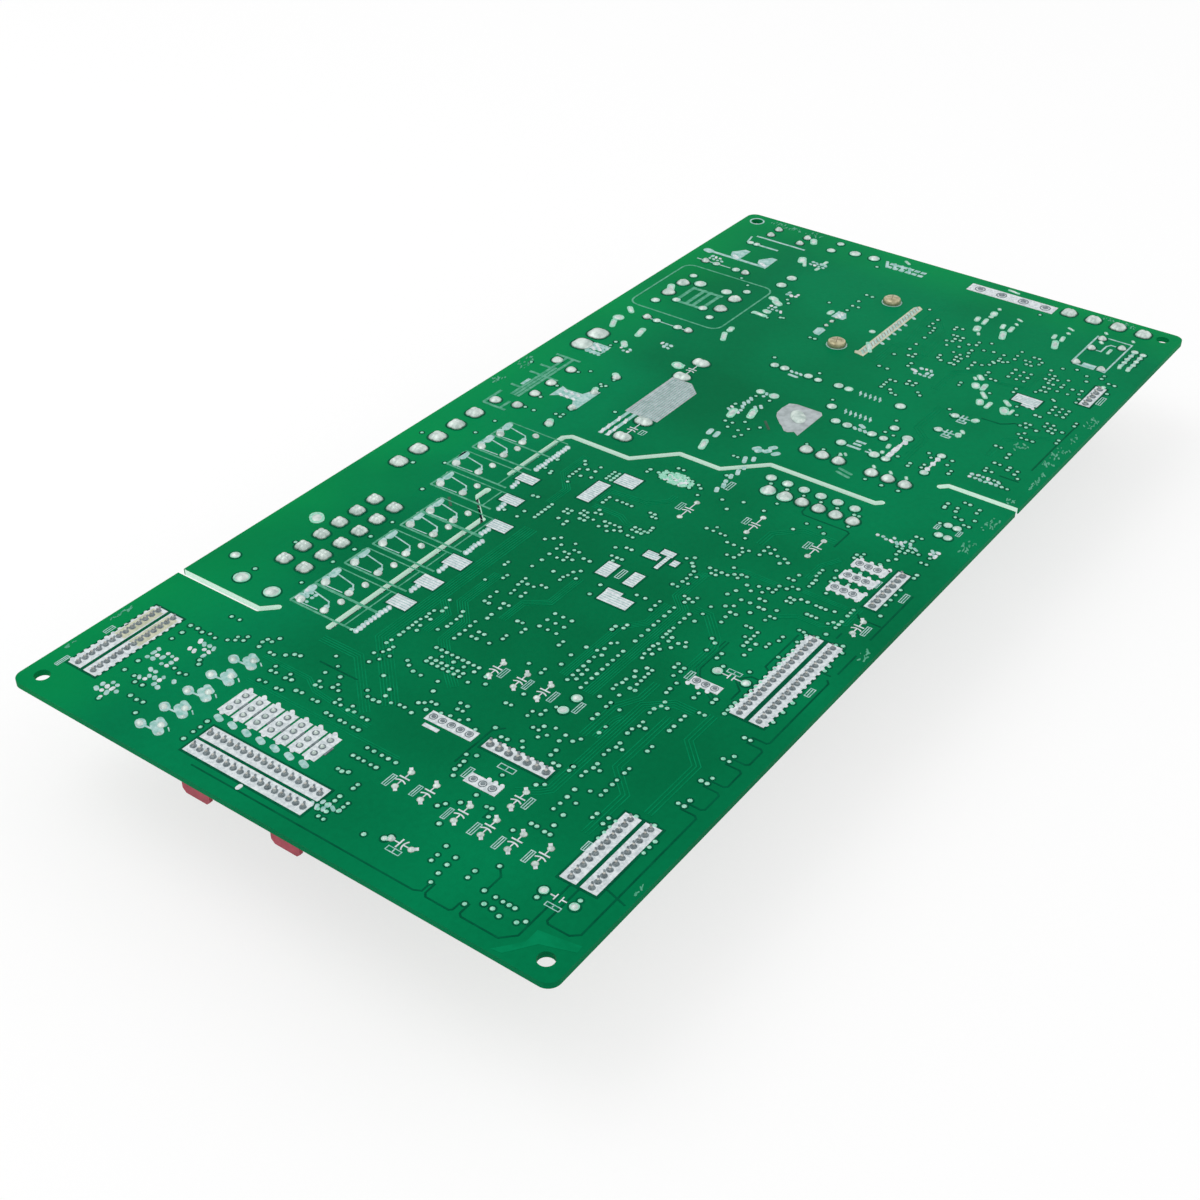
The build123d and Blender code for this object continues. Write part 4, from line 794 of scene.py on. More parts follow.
small_boxes = [  # printed label boxes, left empty: x0, y0, x1, y1
    (-133, -15.4, -129.4, -14.2), (-132.2, -22, -128.8, -20.9), (-133.6, -31.5, -130.2, -30.5),
    (-133.9, -38.9, -130.3, -37.7), (-134.2, -45.3, -130.5, -44.2), (-133.6, -52.4, -130.1, -51.3),
    (-121.6, -43.1, -118.1, -41.9), (-147, -31, -145.8, -27.6), (-91.2, -12.4, -87.8, -11.2),
    (-91.2, -19.3, -87.8, -18.2), (-91.4, -26.5, -87.8, -25.3), (-91.2, -33.3, -87.4, -32.1),
    (-124.1, -60, -121.4, -59), (-114.8, -34.4, -113.4, -30.3), (-121.5, -27.1, -118.2, -25.9),
    (-140.3, -65.7, -139.3, -62.3), (-56.3, -71.4, -53.3, -70.2), (-59.3, -55.3, -58.1, -51.8),
    (-66.8, -46.6, -63.9, -45.3), (-29.6, -70.4, -25.9, -69.3), (-12.9, -71.5, -9.2, -70.3),
    (-11.2, -63.5, -8.2, -62.6), (20.2, -63.6, 22.2, -62.5), (20.3, -69.5, 22.6, -68.5),
    (-6.8, -41.7, -3.8, -40.3), (-6.4, -23.6, -3.6, -22.2), (-10.8, -6.4, -7.6, -5),
    (103, -71.6, 107.6, -70.3), (-44.6, -11.5, -40.8, -10.2), (4.3, -11.4, 8.2, -10),
    (13.7, 22.2, 15.9, 23.8), (-146.7, 72, -143, 71), (-132.2, 72.4, -129.4, 71.2),
]

# ---- Drawing on the solder side ----


def slanted_block(flat, x, y, length, width, turn):
    """A block with round ends along a direction in degrees."""
    c, s = heading(turn)
    half, r = max(length / 2 - width / 2, 0.01), width / 2
    outline = []
    for end, start in ((half, -90), (-half, 90)):
        for i in range(7):
            t = math.radians(start + 30 * i)
            u, v = end + r * math.cos(t), r * math.sin(t)
            outline.append((x + u * c - v * s, y + u * s + v * c))
    flat.polygon(outline)


def strokes(flat, places, length, width, turn):
    """The same slanted block at each place."""
    for x, y in places:
        slanted_block(flat, x, y, length, width, turn)


def capacitor_symbol(x, y, reach=2.6, upright=False, tails=True):
    """Two pads with square tails, and a straight and a curved plate between them."""

    def turned(u, v):
        return (x - v, y + u) if upright else (x + u, y + v)

    for side in (-1, 1):
        px, py = turned(side * reach, 0)
        joints.dome(px, py, 0.85, 0.5)
        if tails:
            tx, ty = px + side * 1.1, py + side * 1.0
            if upright:
                tx, ty = px - side * 1, py + side * 1.1
            silk.line([(px, py), (tx, ty)], 0.85)
        silk.line([turned(side * 0.45, 0), turned(side * (reach - 0.8), 0)], 0.28)
    silk.line([turned(0.45, -1.35), turned(0.45, 1.35)], 0.36)
    curve = [turned(-0.45 - 0.5 * abs(i / 3) ** 2, 0.45 * i) for i in range(-3, 4)]
    silk.line(curve, 0.32)


def steps(start, end, step):
    """Places a step apart, from start and short of end."""
    while start < end:
        yield start
        start += step


def crowd(x0, y0, x1, y1, seed):
    """Small pads crowded under a cluster of surface-mounted parts."""
    pick = random.Random(seed)
    x0, x1 = min(x0, x1), max(x0, x1)
    for y in steps(y0 + 0.6, y1 - 0.3, 1.5):
        for x in steps(x0 + 0.6, x1 - 0.3, 1.6):
            if pick.random() < 0.75:
                grey = worn if pick.random() < 0.7 else silk
                slanted_block(grey, x + pick.uniform(-0.2, 0.2), y, pick.uniform(1, 1.9),
                              pick.uniform(0.8, 1.2), pick.choice((0, 30, 45, 60)))


pick = random.Random(11)
for x, y in vias:
    radius = pick.uniform(*via_radii)
    halos.disc(x, y, radius + via_opening, sides=12)
    points.dome(x, y, radius, via_height)
for x, y, radius in silver:
    halos.disc(x, y, radius + pad_opening)
    pads.disc(x, y, radius)
    joints.dome(x, y, radius * 0.9, 0.35 * radius + 0.15)
for x, y, length, width, turn in slanted:
    slanted_block(pads, x, y, length, width, turn)
    joints.dome(x, y, width * 0.42, 0.45, long=max(length / width * 0.95, 1), turn=turn)
for index, box in enumerate(clustered):
    crowd(*box, seed=index)
for box in bright + crossed:
    silk.block(*box)
    halos.block(*grown(box, block_opening))
    # the print is ribbed where it runs over copper
    x0, y0, x1, y1 = box
    for x in steps(x0 + 0.7, x1 - 0.3, 0.85):
        ribs.line([(x, y0 + 0.2), (x, y1 - 0.2)], 0.14)
for x0, x1, y in coil_strips:
    for x in steps(x0 + 0.6, x1 - 0.4, 1.25):
        slanted_block(worn, x, y + pick.uniform(-0.2, 0.2), 2, pick.uniform(1, 1.5), 50)
        slanted_block(silk, x, y - 0.2, 1.2, 0.7, 50)
for x0, y0, x1, y1 in small_boxes:
    worn.frame(x0, y0, x1, y1, 0.22)
    worn.block(x0 + 0.2, (y0 + y1) / 2 - 0.12, x1 - 0.2, (y0 + y1) / 2 + 0.12)

# film capacitors: symbols between their leads
for x, y in (
    (-129.4, -17), (-129.4, -23.9), (-130.1, -33.4), (-130.1, -40.4), (-130.1, -47.3),
    (-130.1, -54.2), (-120, -40.1), (-89.3, -9.6), (-89.3, -16.5), (-89.3, -23.1),
    (-27.5, -67.6),
):
    capacitor_symbol(x, y)
capacitor_symbol(-144.1, -29.4, upright=True)
for x, y in ((-9.4, -8.2), (-5.3, -25.6), (-5.3, -43.3)):
    capacitor_symbol(x, y, reach=4, tails=False)
for x, y in ((14.9, 26.2), (52.1, 31.7)):
    capacitor_symbol(x, y, reach=4.6, tails=False)

# relays: outline, pads and the print between them
for index in range(10):
    cx, cy = (value / MM for value in middle_of(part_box(f"relay_{index + 1}"))[:2])
    faint.line([(cx - 4.3, cy + 10.6), (cx - 4.3, cy - 9.4)], 0.6)
    faint.line([(cx + 3.9, cy + 10.4), (cx + 3.9, cy - 9.4)], 0.4)
    faint.line([(cx - 4.3, cy + 10.6), (cx + 3.9, cy + 10.4)], 0.6)
    faint.line([(cx - 4.3, cy - 6.6), (cx + 3.9, cy - 6.6)], 0.4)
    slanted_block(worn, cx - 2, cy + 9.2, 3.6, 1.9, 42)
    slanted_block(worn, cx + 1.6, cy + 9.6, 4.2, 2.2, 12)
    worn.line([(cx + 1.6, cy + 8.4), (cx + 0.5, cy + 2.6), (cx - 1, cy + 1.4)], 0.4)
    worn.line([(cx - 3.6, cy + 7.8), (cx - 3.4, cy + 2.6)], 0.3)
    slanted_block(worn, cx - 2.1, cy + 1.4, 3.4, 1.4, 20)
    joints.dome(cx - 2.6, cy + 1.2, 1.15, 0.6, long=1.2, turn=45)
    joints.dome(cx - 2.6, cy + 8.8, 1.2, 0.6, long=1.4, turn=45)
    joints.dome(cx + 2.2, cy + 0.3, 0.95, 0.5, long=1.4, turn=50)

# white blocks with rings, where a connector or a transistor is soldered
switch_places = (-16.7, -10.5, -4.6)  # x of three upright transistors
ringed = [  # x0, y0, x1, y1, ring places, radius
    (-112, -20.7, -108.7, -7.6, [(-110.3, -9 - 2.5 * i) for i in range(5)], 1),
    (146.7, -37.3, 151.7, -8.6, [(149.2, -12.2 - 7.3 * i) for i in range(4)], 1.7),
    (-122.4, -35.6, -119.2, -27.2, [(-120.8, -28.7 - 2.55 * i) for i in range(3)], 1),
    (-67.6, -54.6, -64.8, -46.9, [(-66.1, -48.2 - 2.4 * i) for i in range(3)], 1),
]
ringed += [
    (x - 1.7, -62.9, x + 1.6, -53.6, [(x, -55.2 - 2.45 * i) for i in range(3)], 1.05)
    for x in switch_places
]
for x0, y0, x1, y1, places, radius in ringed:
    silk.block(x0, y0, x1, y1)
    for x, y in places:
        # dark rings and discs of dull solder and painted shade at each lead
        shade.ring(x, y, radius * 0.78, radius)
        shade.disc(x + radius * 0.1, y, radius * 0.55)
silk.block(-114, -13, -112.9, -8.8)
for x in switch_places:
    for y in (-54.3, -57, -59.5, -62):
        slanted_block(silk, x - 1.7, y, 1.5, 1, 35)
        slanted_block(silk, x + 1.8, y - 0.6, 1.5, 1, 35)
for x, start, step in ((-120.8 + 1.8, -31.6, 1.7), (-66.1 - 1.8, -47, 2.6)):
    for i in range(3):
        slanted_block(silk, x, start - step * i, 1.4, 1, 40)

# seven transistors in a column
for index in range(7):
    y = 28.9 - 4.22 * index
    silk.block(-136.4, y - 1.85, -127.7, y + 1.75)
    for x in (-134.4, -131.9, -129.4):
        # dark discs of dull solder and painted shade under the leads
        shade.disc(x, y, 0.85)
        joints.dome(x, y, 0.6, 0.7)
    slanted_block(worn, -138.2, y - 0.6, 3, 1.6, 70)
    # a dark stroke below the pins, of dull solder and painted shade
    shade.line([(-133.6, y - 2.1), (-130.8, y - 2.1)], 0.5)
    for x in (-136.2, -127.5):
        slanted_block(silk, x, y + 0.4, 2, 1.1, 45)

# filter capacitors beside the sensor header
for index in range(5):
    x = -149.2 + 6.95 * index
    slanted_block(worn, x - 0.2, 40.6, 3.4, 2.4, 60)
    slanted_block(worn, x + 0.8, 36.6, 5.4, 2.4, 62)
    slanted_block(worn, x + 2.8, 37.2, 3.8, 1.6, 70)
    worn.line([(x - 0.4, 41.6), (x + 0.2, 34.6)], 0.5)
    joints.dome(x - 0.3, 40.8, 0.9, 0.5, long=1.3, turn=55)
    joints.dome(x + 2, 36.6, 0.9, 0.5, long=1.3, turn=55)
    joints.dome(x - 0.2, 34.9, 0.6, 0.3)
    worn.line([(x + 1.6, 33.6), (x + 2.4, 34.8)], 0.3)

# broad tinned areas, and the print and the crowd of points around them
tinned.polygon([(21.8, 23), (41.5, 23), (45.4, 27.2), (45.4, 33.8), (21.8, 33.8)])
for y in (30.3, 32.5):
    worn.block(8, y - 0.55, 21.8, y + 0.55)
    for x in (9.4, 12.2, 17.2):
        slanted_block(silk, x, y, 2.8, 0.9, 20)
tinned.polygon([
    (38.6, -11.8), (39.8, -10), (38.6, -8.6), (38.7, -7.4), (40.6, -5.6), (41.4, -4.4),
    (44.2, -1.7), (46, -0.8), (49, -0.6), (52.3, -1), (53.2, -3), (53.3, -10.8),
    (52, -11.8),
])
joints.dome(47.4, -6.8, 2.3, 0.9, long=1.7, turn=40)
for index in range(12):
    y = 23.7 + 0.82 * index
    ribs.line([(22.1, y), (min(44.9, 41.4 + max(y - 23, 0)), y)], 0.16)
worn.polygon([
    (14.2, 45.2), (26, 45.2), (25.2, 47.6), (22.2, 48.8), (21.8, 54), (22.6, 56), (16.2, 56), (17.8, 54),
    (18, 49), (15.4, 47.4),
])
for y in (53.6, 51.4, 49.2):
    slanted_block(silk, 18.4, y, 1.8, 0.9, 60)
    slanted_block(silk, 20.8, y, 1.8, 0.9, 60)
slanted_block(silk, 25.2, 47, 3.4, 1.2, 25)
pick = random.Random(5)
for index in range(90):
    turn, reach = pick.uniform(0, 2 * math.pi), math.sqrt(pick.random())
    x, y = 0.8 + 2.6 * reach * math.cos(turn), 2.3 + 4.9 * reach * math.sin(turn)
    points.dome(x, y, 0.6, 0.3)
for index in range(24):
    x, y = pick.uniform(-1.2, 2.6), pick.uniform(-1, 6.2)
    slanted_block(silk, x, y, 1.6, 1.1, 40)

# the tinned edge of one mounting hole
worn.ring(half_length - hole_inset, half_width - hole_inset, 2, 2.5)

# print around the line filter, the fuse and the varistor
rounded = []
for cx, cy, start in ((106.9, 68.4, 0), (80.2, 68.4, 90), (80.2, 42.6, 180), (106.9, 42.6, 270)):
    for step in range(5):
        t = math.radians(start + 22.5 * step)
        rounded.append((cx + 3.3 * math.cos(t), cy + 3.3 * math.sin(t)))
faint.outline(rounded, 0.55)
for y in (60.4, 56.6, 54.2, 50.8):
    faint.block(85.6, y - 0.6, 97.4, y + 0.6)
for x in (85.6, 96):
    faint.block(x, 49.8, x + 1.2, 61)
for run in (
    [(2.3, 68.6), (2.3, 60.8)], [(2.3, 68.6), (10.4, 68.6)], [(10.4, 65.1), (37, 65.1)],
    [(10.4, 62.8), (37, 62.8)], [(36.8, 69), (36.8, 60.4)], [(15, 68.8), (15, 65.1)],
    [(24, 69), (24, 59)], [(29, 69), (29, 65.1)], [(10.4, 64), (30, 64)],
    [(2.3, 62.8), (7, 62.8)],
):
    faint.line(run, 0.9)
worn.block(16.6, 65.7, 20.4, 66.7)
worn.frame(44.6, 58.6, 49.2, 63.4, 0.4)
for y in (59.2, 60.6, 62, 63.4):
    for x in (44, 46.4, 48.2):
        slanted_block(worn, x, y, 2.4, 1.1, 45)
strokes(silk, ((46.6, 60.6), (48, 62.4), (46, 62.4)), 2.6, 0.9, 50)
worn.line([(122.3, 50), (122.3, 73.4)], 1.2)
slanted_block(worn, 122.3, 71.6, 3.8, 2.6, 80)
for y in (61.8, 51.6):
    worn.polygon([(121.4, y - 1.8), (129.6, y - 1.6), (129.8, y + 0.4), (126, y + 3.2),
                  (123.6, y + 2.2)])
    slanted_block(silk, 123.6, y + 0.2, 3.2, 1.2, 60)
for start, end, width in (
    ((115.4, 71.6), (115.4, 59), 0.4), ((71.6, 62.6), (71.6, 45.4), 0.4),
    ((141, 64.8), (141, 46.6), 0.8), ((135.4, 65), (135.4, 53.4), 0.9),
    ((135.4, 65), (139.8, 66), 0.6),
):
    worn.line([start, end], width)

# compressor drive: the module's lead row and the stain along it, then the print around the drive
stains.polygon([
    (88.9, -4.1), (126, -4.1), (127.2, -2.6), (125.4, -1.4), (91, -1.3), (90.6, -0.4), (89.4, -0.9),
])
for index in range(22):
    x = 91 + 1.62 * index
    slanted_block(ribs, x, -2.7, 2.6, 0.45, 42)
    # a thin dark line of painted shade beside each lead
    slanted_block(shade, x + 0.8, -2.7, 2.2, 0.2, 42)
strokes(worn, row(-4.7, 99.3, 103, 106.7, 110.1, 113.8, 119.2), 1.8, 1, 60)
worn.polygon([(92.6, 13), (96.6, 13), (97.4, 14.4), (96.6, 15.8), (93.4, 15.6), (92.6, 14.4)])
worn.polygon([(105.4, 12.2), (107, 11.8), (109.8, 13.4), (109.8, 16), (105.4, 16.2)])
strokes(silk, row(14.2, 107, 108.6), 2.4, 0.9, 40)
for index in range(4):
    joints.dome(99.4 + 3.2 * index, 14.4, 0.7, 0.5)
for index in range(6):
    y = 18.8 - 2.2 * index
    worn.block(145.6, y - 1.3, 147, y + 0.4)
    worn.block(148, y - 1.3, 149.4, y + 0.4)
strokes(worn, column(147.6, 19.8, 17, 14.4, 11.8), 4.8, 1, 25)
worn.line([(121.6, -58), (121.6, -55.6), (122.6, -54.6), (142, -54.6)], 0.55)
worn.line([(121.8, -62.4), (121.6, -65), (142, -65.1), (142, -57.6)], 0.5)
worn.block(121.2, -61.8, 123.8, -57.8)
worn.line([(133, -57.6), (133, -59.1), (137, -59.2), (138.4, -60), (138.4, -61.6)], 0.5)
for y in (-67.4, -70):
    worn.block(127, y - 0.45, 138.6, y + 0.45)
strokes(silk, row(-36.8, 44.8, 47.8), 3.4, 1.6, 0)
slanted_block(silk, 48.6, -36.8, 5, 1.2, 0)
silk.line([(42.2, -36.8), (55, -36.8)], 0.7)
slanted_block(silk, 53.2, -37, 3.4, 1.4, 25)
silk.line([(42.1, -48.3), (52.3, -48.3)], 0.5)
strokes(silk, row(-48.3, 44.2, 47.4, 50.2), 2, 1.4, 30)
for x, y0, y1 in ((42.4, -25, -29.2), (44.2, -26, -28.4), (45.8, -26, -29)):
    worn.line([(x, y0), (x, y1)], 0.9)
worn.line([(42.4, -30.6), (42.4, -33), (44, -31)], 0.6)
strokes(worn, column(51.4, -22.4, -24, -25.6), 1.8, 1, 45)
slanted_block(worn, 53.4, -23.6, 2.6, 1.3, 60)
for x, y0, y1 in ((57.9, -15.4, -24.6), (69.2, -13.8, -20.4)):
    y = y0
    while y > y1:
        worn.line([(x - 1.3, y - 0.9), (x + 1.2, y)], 0.4)
        slanted_block(worn, x, y - 0.5, 1.6, 0.7, 35)
        y -= 1.55
slanted_block(worn, 66.6, 6.4, 3.4, 1, 88)
strokes(worn, column(68.6, 8, 6.4, 5), 1.6, 0.9, 50)
for x in (64.4, 73.8):
    worn.line([(x, -39.8), (x, -46)], 0.5)
    for y in (-43.4, -44.6):
        worn.line([(x - 1.6, y), (x + 1.5, y)], 0.5)
    worn.frame(x - 2.6, -45.6, x - 1.6, -43.2, 0.4)
strokes(faint, ((28.6, -31.6), (30.4, -31.4)), 4.8, 0.9, 78)
strokes(worn, ((26.4, -6.4), (26.8, -9.4), (27, -12), (29.2, -9.8), (25.8, -7.6)), 2.8, 1.7, -35)
for x, y, length in ((2.8, -8.9, 2.6), (10.4, -8.4, 2.4), (13.2, -8.8, 3), (15.9, -9, 1.8),
                     (21.2, -8.7, 2.6), (19.6, -6.9, 3.6), (5.6, -9.2, 2.6), (7.6, -8.6, 1.8)):
    slanted_block(worn, x, y, length, 1.2, 22)
strokes(worn, ((44.8, 9.2), (43, 8.6), (46.4, 8.8), (48.2, 9), (46, 4.4), (44.6, 5.4)), 2.2, 1, 40)
strokes(worn, ((26.4, 8.6), (26.2, 6.3)), 3.4, 1.5, 8)
slanted_block(silk, 90.2, -20.4, 2, 1.2, 60)

# the plates of the symbols between two upright pairs of pads
for x, y in ((-137.4, -62.4), (-137.4, -64.8)):
    side = 1 if y > -63 else -1
    silk.line([(x - 0.85, y - 0.5 * side), (x + 0.85, y - 0.5 * side)], 0.25)
    silk.line([(x, y - 0.5 * side), (x, y + 0.75 * side)], 0.3)
silk.line([(-60.5, -51.4), (-60.5, -53.2)], 0.3)
silk.line([(-60.5, -54.4), (-60.5, -56.4)], 0.3)
for y in (-53.2, -54.4):
    silk.line([(-61.4, y), (-59.6, y)], 0.3)

# ---- Copper under the mask ----


def bundle(route, count, pitch, width=0.28, flat=traces):
    """Traces side by side along a route, kept apart through its turns."""
    for index in range(count):
        away = (index - (count - 1) / 2) * pitch
        shifted = []
        for i, (x, y) in enumerate(route):
            x0, y0 = route[max(i - 1, 0)]
            x1, y1 = route[min(i + 1, len(route) - 1)]
            runs = []
            for ax, ay, bx, by in ((x0, y0, x, y), (x, y, x1, y1)):
                size = math.hypot(bx - ax, by - ay)
                if size > 1e-6:
                    runs.append((-(by - ay) / size, (bx - ax) / size))
            nx, ny = sum(r[0] for r in runs), sum(r[1] for r in runs)
            size = math.hypot(nx, ny) or 1.0
            nx, ny = nx / size, ny / size
            reach = away / max(nx * runs[0][0] + ny * runs[0][1], 0.5)
            shifted.append((x + nx * reach, y + ny * reach))
        flat.line(shifted, width)


gap_lines = [
    [(-152.2, 22), (-152.2, -39.4), (-151.4, -41), (-148.4, -41)],
    [(-148.4, -41.9), (-151.4, -41.9), (-152.2, -42.6), (-152.2, -48.4), (-151.6, -49), (-149.4, -49)],
    [(-148.6, -50.7), (-151.6, -50.7), (-152.2, -51.4), (-152.2, -60.5), (-149.5, -63.2), (-133, -63.2)],
    [(-144.2, -51), (-139.4, -51), (-137.4, -49.2)],
    [(-133, -65.3), (-143.3, -65.3), (-143.9, -66), (-143.9, -71), (-142.4, -72.7), (-103.3, -72.7),
     (-102.7, -72), (-102.7, -68.4)],
    [(-100.5, -68.4), (-100.5, -72), (-99.9, -72.7), (-94.8, -72.7), (-94.2, -72), (-94.2, -68.4)],
    [(-92, -68.4), (-92, -72), (-91.4, -72.7), (-86.3, -72.7), (-85.7, -72), (-85.7, -68.4)],
    [(-83.5, -68.4), (-83.5, -72), (-82.9, -72.7), (-77.9, -72.7), (-77.3, -72), (-77.3, -68.4)],
    [(-75.1, -68.4), (-75.1, -72), (-74.5, -72.5), (-49.6, -72.5), (-48.6, -71.6)],
    [(-45.4, -72.5), (-37, -72.5)], [(-47, -69.6), (-47, -71.6)], [(60, -70.8), (75, -70.8), (90, -71)],
    [(-131.4, -75), (-130, -69.8)], [(77, -48), (77.2, -53.6), (78.6, -55.4), (79.8, -56.6), (80.4, -64)],
    [(-2, -46.6), (5.4, -46.6), (6, -45.8), (6, -33), (7, -32), (9.6, -31.8)],
    [(-67, -57.9), (-63.4, -57.9), (-60.4, -54.8), (-57.6, -57.4), (-57.6, -59.6)],
    [(-54, -60), (-52.6, -57.9), (-40.6, -57.9), (-38, -57.9)],
    [(-24.2, -71.8), (-24.2, -66), (-23, -65)], [(-34, -65.6), (-31.6, -65.6)],
    [(52.6, -70.6), (52.6, -65)], [(-30, -72.2), (-9, -72.2)], [(-128.6, -37.6), (-126, -37.6)],
    [(-110.6, 13), (-110.6, 24.4)], [(-118.8, -22), (-106, -22), (-104, -24)],
]
for run in gap_lines:
    gaps.line(run, 0.42)
traces.polygon([
    (-155.2, -61), (-149.8, -65.3), (-146.2, -65.3), (-145.6, -69), (-144.6, -74.6), (-146.4, -74.8),
    (-149, -67.6), (-154.8, -63.4),
])

# route, how many, pitch, and the width and the piece where they differ from most
for route, count, pitch, *rest in (
    ([(-118.6, -38), (-115.4, -42), (-113.6, -43.6), (-80.4, -43.6), (-75.6, -48.8),
      (-75.6, -54)], 4, 0.75),
    ([(-96, -38.6), (-84, -38.6), (-78.6, -41.6), (-72, -41.6)], 3, 0.8),
    ([(-95, -41.2), (-88, -41.2), (-86, -42)], 3, 0.7),
    ([(-66, -46), (-63, -44.6), (-54, -44.6), (-51, -43.6), (-44, -37), (-44, -33)], 4, 0.75),
    ([(-70, -55.6), (-64.4, -47.4), (-62, -46), (-50, -46)], 2, 0.9, 0.28, gaps),
    ([(-84, -31.2), (-46, -31.2), (-42, -27), (-30, -27)], 5, 0.62),
    ([(-82, -22.8), (-60, -22.8), (-55, -27), (-46, -27)], 4, 0.6),
    ([(-113, 1), (-107, 7), (-95.4, 18.8), (-40, 18.8)], 6, 0.72),
    ([(-118, 4), (-104, 18.6), (-104, 30)], 4, 0.72),
    ([(-100, -6), (-94.6, 0.4), (-88, 7), (-80, 7.4), (-74, 13), (-60, 13)], 5, 0.62),
    ([(-88, 12.6), (-80, 12.6), (-76, 17)], 4, 0.6),
    ([(-74, 1), (-66, 1), (-62, -4), (-50, -4)], 4, 0.6),
    ([(-125, 33), (-125, -12)], 2, 0.6),
    ([(-116.6, 36), (-116.6, 22), (-119, 18), (-121, 0)], 3, 0.55),
    ([(-28, 22.6), (-20, 22.6), (-14, 28), (-4, 28)], 4, 0.6),
    ([(-22, 12.6), (-22, 4), (-24, 0.6), (-24, -1)], 3, 0.7),
    ([(-20, 13), (-14, 13), (-13, 2), (-9, -2), (-6, -2)], 3, 0.7),
    ([(-22.6, -50), (-22.6, -62)], 3, 0.6),
    ([(-33, -25.6), (-24, -34), (-24, -44)], 3, 0.6),
    ([(-12, -31), (-6, -31), (0, -37), (0, -46)], 3, 0.8, 0.35),
    ([(-17.6, -48), (-11, -48), (-6, -50.6)], 3, 0.6),
    ([(-35, -50), (-32, -54), (-32, -60), (-28, -64.6), (-21, -64.6)], 3, 0.6),
    ([(-120, -57), (-106, -57), (-100, -50.6), (-80, -50.6)], 3, 0.9),
    ([(-108, -64), (-90, -64), (-84, -58), (-74, -58)], 3, 0.9),
    ([(84, -30), (96, -30), (100, -34), (112, -34)], 4, 0.7),
    ([(96, -17.6), (100, -17.6), (104, -15.2), (118, -15.2), (122, -12.4)], 3, 0.7),
    ([(88, -8.4), (100, -8.4), (104, -10.6), (120, -8.4), (132, -8.4)], 4, 0.8),
    ([(100, -18.6), (116, -17)], 3, 0.7),
    ([(98, -42), (100, -50.6), (112, -50.6)], 3, 0.7),
    ([(60, -58), (70, -58), (76, -64), (78, -68)], 3, 0.8),
    ([(44, -40.6), (58, -40.6), (62, -36), (76, -36)], 3, 0.9),
):
    bundle(route, count, pitch, *rest)

# scuffs along the near edge
pick = random.Random(23)
for x0, x1, y0, y1 in ((-129, -125, -75.8, -74.8), (14, 20, -74.6, -71.8),
                       (26.6, 33.2, -75.2, -71.8), (50, 60.4, -75.6, -73.4),
                       (64, 75.4, -75, -71.6), (79, 84, -74, -72.8),
                       (89, 96, -75.6, -72.6), (-38, -33.6, -75.4, -72.4),
                       (41.6, 43.6, -74, -71), (-141.8, -138, 74, 75.6),
                       (-128, -120, 73.8, 75.6), (13, 17, 72.2, 75.6),
                       (24, 31, 71.4, 75.6), (151.6, 154.4, 46, 67),
                       (152.2, 154.6, -62, -51), (67, 71, -65, -61.4)):
    for index in range(int(5 + (x1 - x0) * (y1 - y0) / 1.6)):
        x = pick.uniform(x0, min(x1, half_length - 1))
        y = pick.uniform(max(y0, 1 - half_width), min(y1, half_width - 1))
        slanted_block(faint, x, y, pick.uniform(0.4, 1.6), pick.uniform(0.2, 0.5),
                      pick.uniform(-20, 50))

# the two short dark slits: dark green strokes of painted shade, where the slits are seen through to the
# dark under the board
for run in ([(36.7, -3.9), (40.2, -0.5)], [(-44, 41.7), (-41, 44.8)]):
    slit_shade.line(run, 0.75)

# ---- Two-row headers: white blocks, a joint on each pin ----


header_margin = 1.2  # mm, of print past the first and last pin
stained = {"sensor_header_pins": (0.5, 1)}  # the share of a row that flux has yellowed


def header_block(name, along_x, side=1.9, run=1, toothed=False):
    """White print under each pin row of a header, with small joints in it."""
    tips = lead_tips(name)
    middle_x = sum(x for x, _ in tips) / len(tips)
    middle_y = sum(y for _, y in tips) / len(tips)
    rows = {}
    for x, y in tips:
        rows.setdefault(round(y if along_x else x), []).append((x, y))
    for row in rows.values():
        xs, ys = [x for x, _ in row], [y for _, y in row]
        reach_x, reach_y = (header_margin, side) if along_x else (side, header_margin)
        edges = (min(xs) - reach_x, min(ys) - reach_y, max(xs) + reach_x, max(ys) + reach_y)
        silk.block(*edges)
        halos.block(*grown(edges, 0.6))
        if name in stained:
            low, high, share = min(xs), max(xs), stained[name]
            x0, x1 = (low + (high - low) * v for v in share)
            stains.block(x0, edges[1] + 0.3, x1, edges[3] - 0.3)
    for x, y in tips:
        if toothed:
            away = y - middle_y if along_x else x - middle_x
            reach = math.copysign(side, away if abs(away) > 0.1 else 1)
            silk.disc(x + (0 if along_x else reach), y + (reach if along_x else 0), 0.55, sides=12)
        # each pin: a dark pad of dull solder and painted shade, and a painted shadow slanting off it
        shade.disc(x, y, 0.78 * run)
        slanted_block(shade, x + 0.7 * run, y + 0.35 * run, 2 * run, 0.5 * run, 38)
        pin_joints.dome(x - 0.05, y - 0.05, 0.45 * run, 0.9)


header_block("latching_header_pins", along_x=False, side=2.1)
header_block("sensor_header_pins", along_x=True, side=2, toothed=True)
header_block("display_header_pins", along_x=True, side=2)
header_block("main_header_pins", along_x=True, side=1.9, toothed=True)
header_block("service_header_pins", along_x=False, side=1.6, run=1.25, toothed=True)
header_block("fan_header_pins", along_x=True, side=1.65, run=1.25)
header_block("damper_header_pins", along_x=True, side=1.6, run=1.2)

for name, radius in (
    ("load_connector_pins", 1.4),
    ("valve_connector_pins", 1.8),
    ("mains_connector_pins", 2.6),
    ("compressor_connector_pins", 1.75),
    ("transformer_bobbin", 1.9),
    ("choke_base", 1.8),
    ("bulk_capacitor_1", 2),
    ("bulk_capacitor_2", 2),
):
    for x, y in lead_tips(name):
        halos.disc(x, y, radius + 0.5)
        joints.dome(x, y, radius, 1.25)

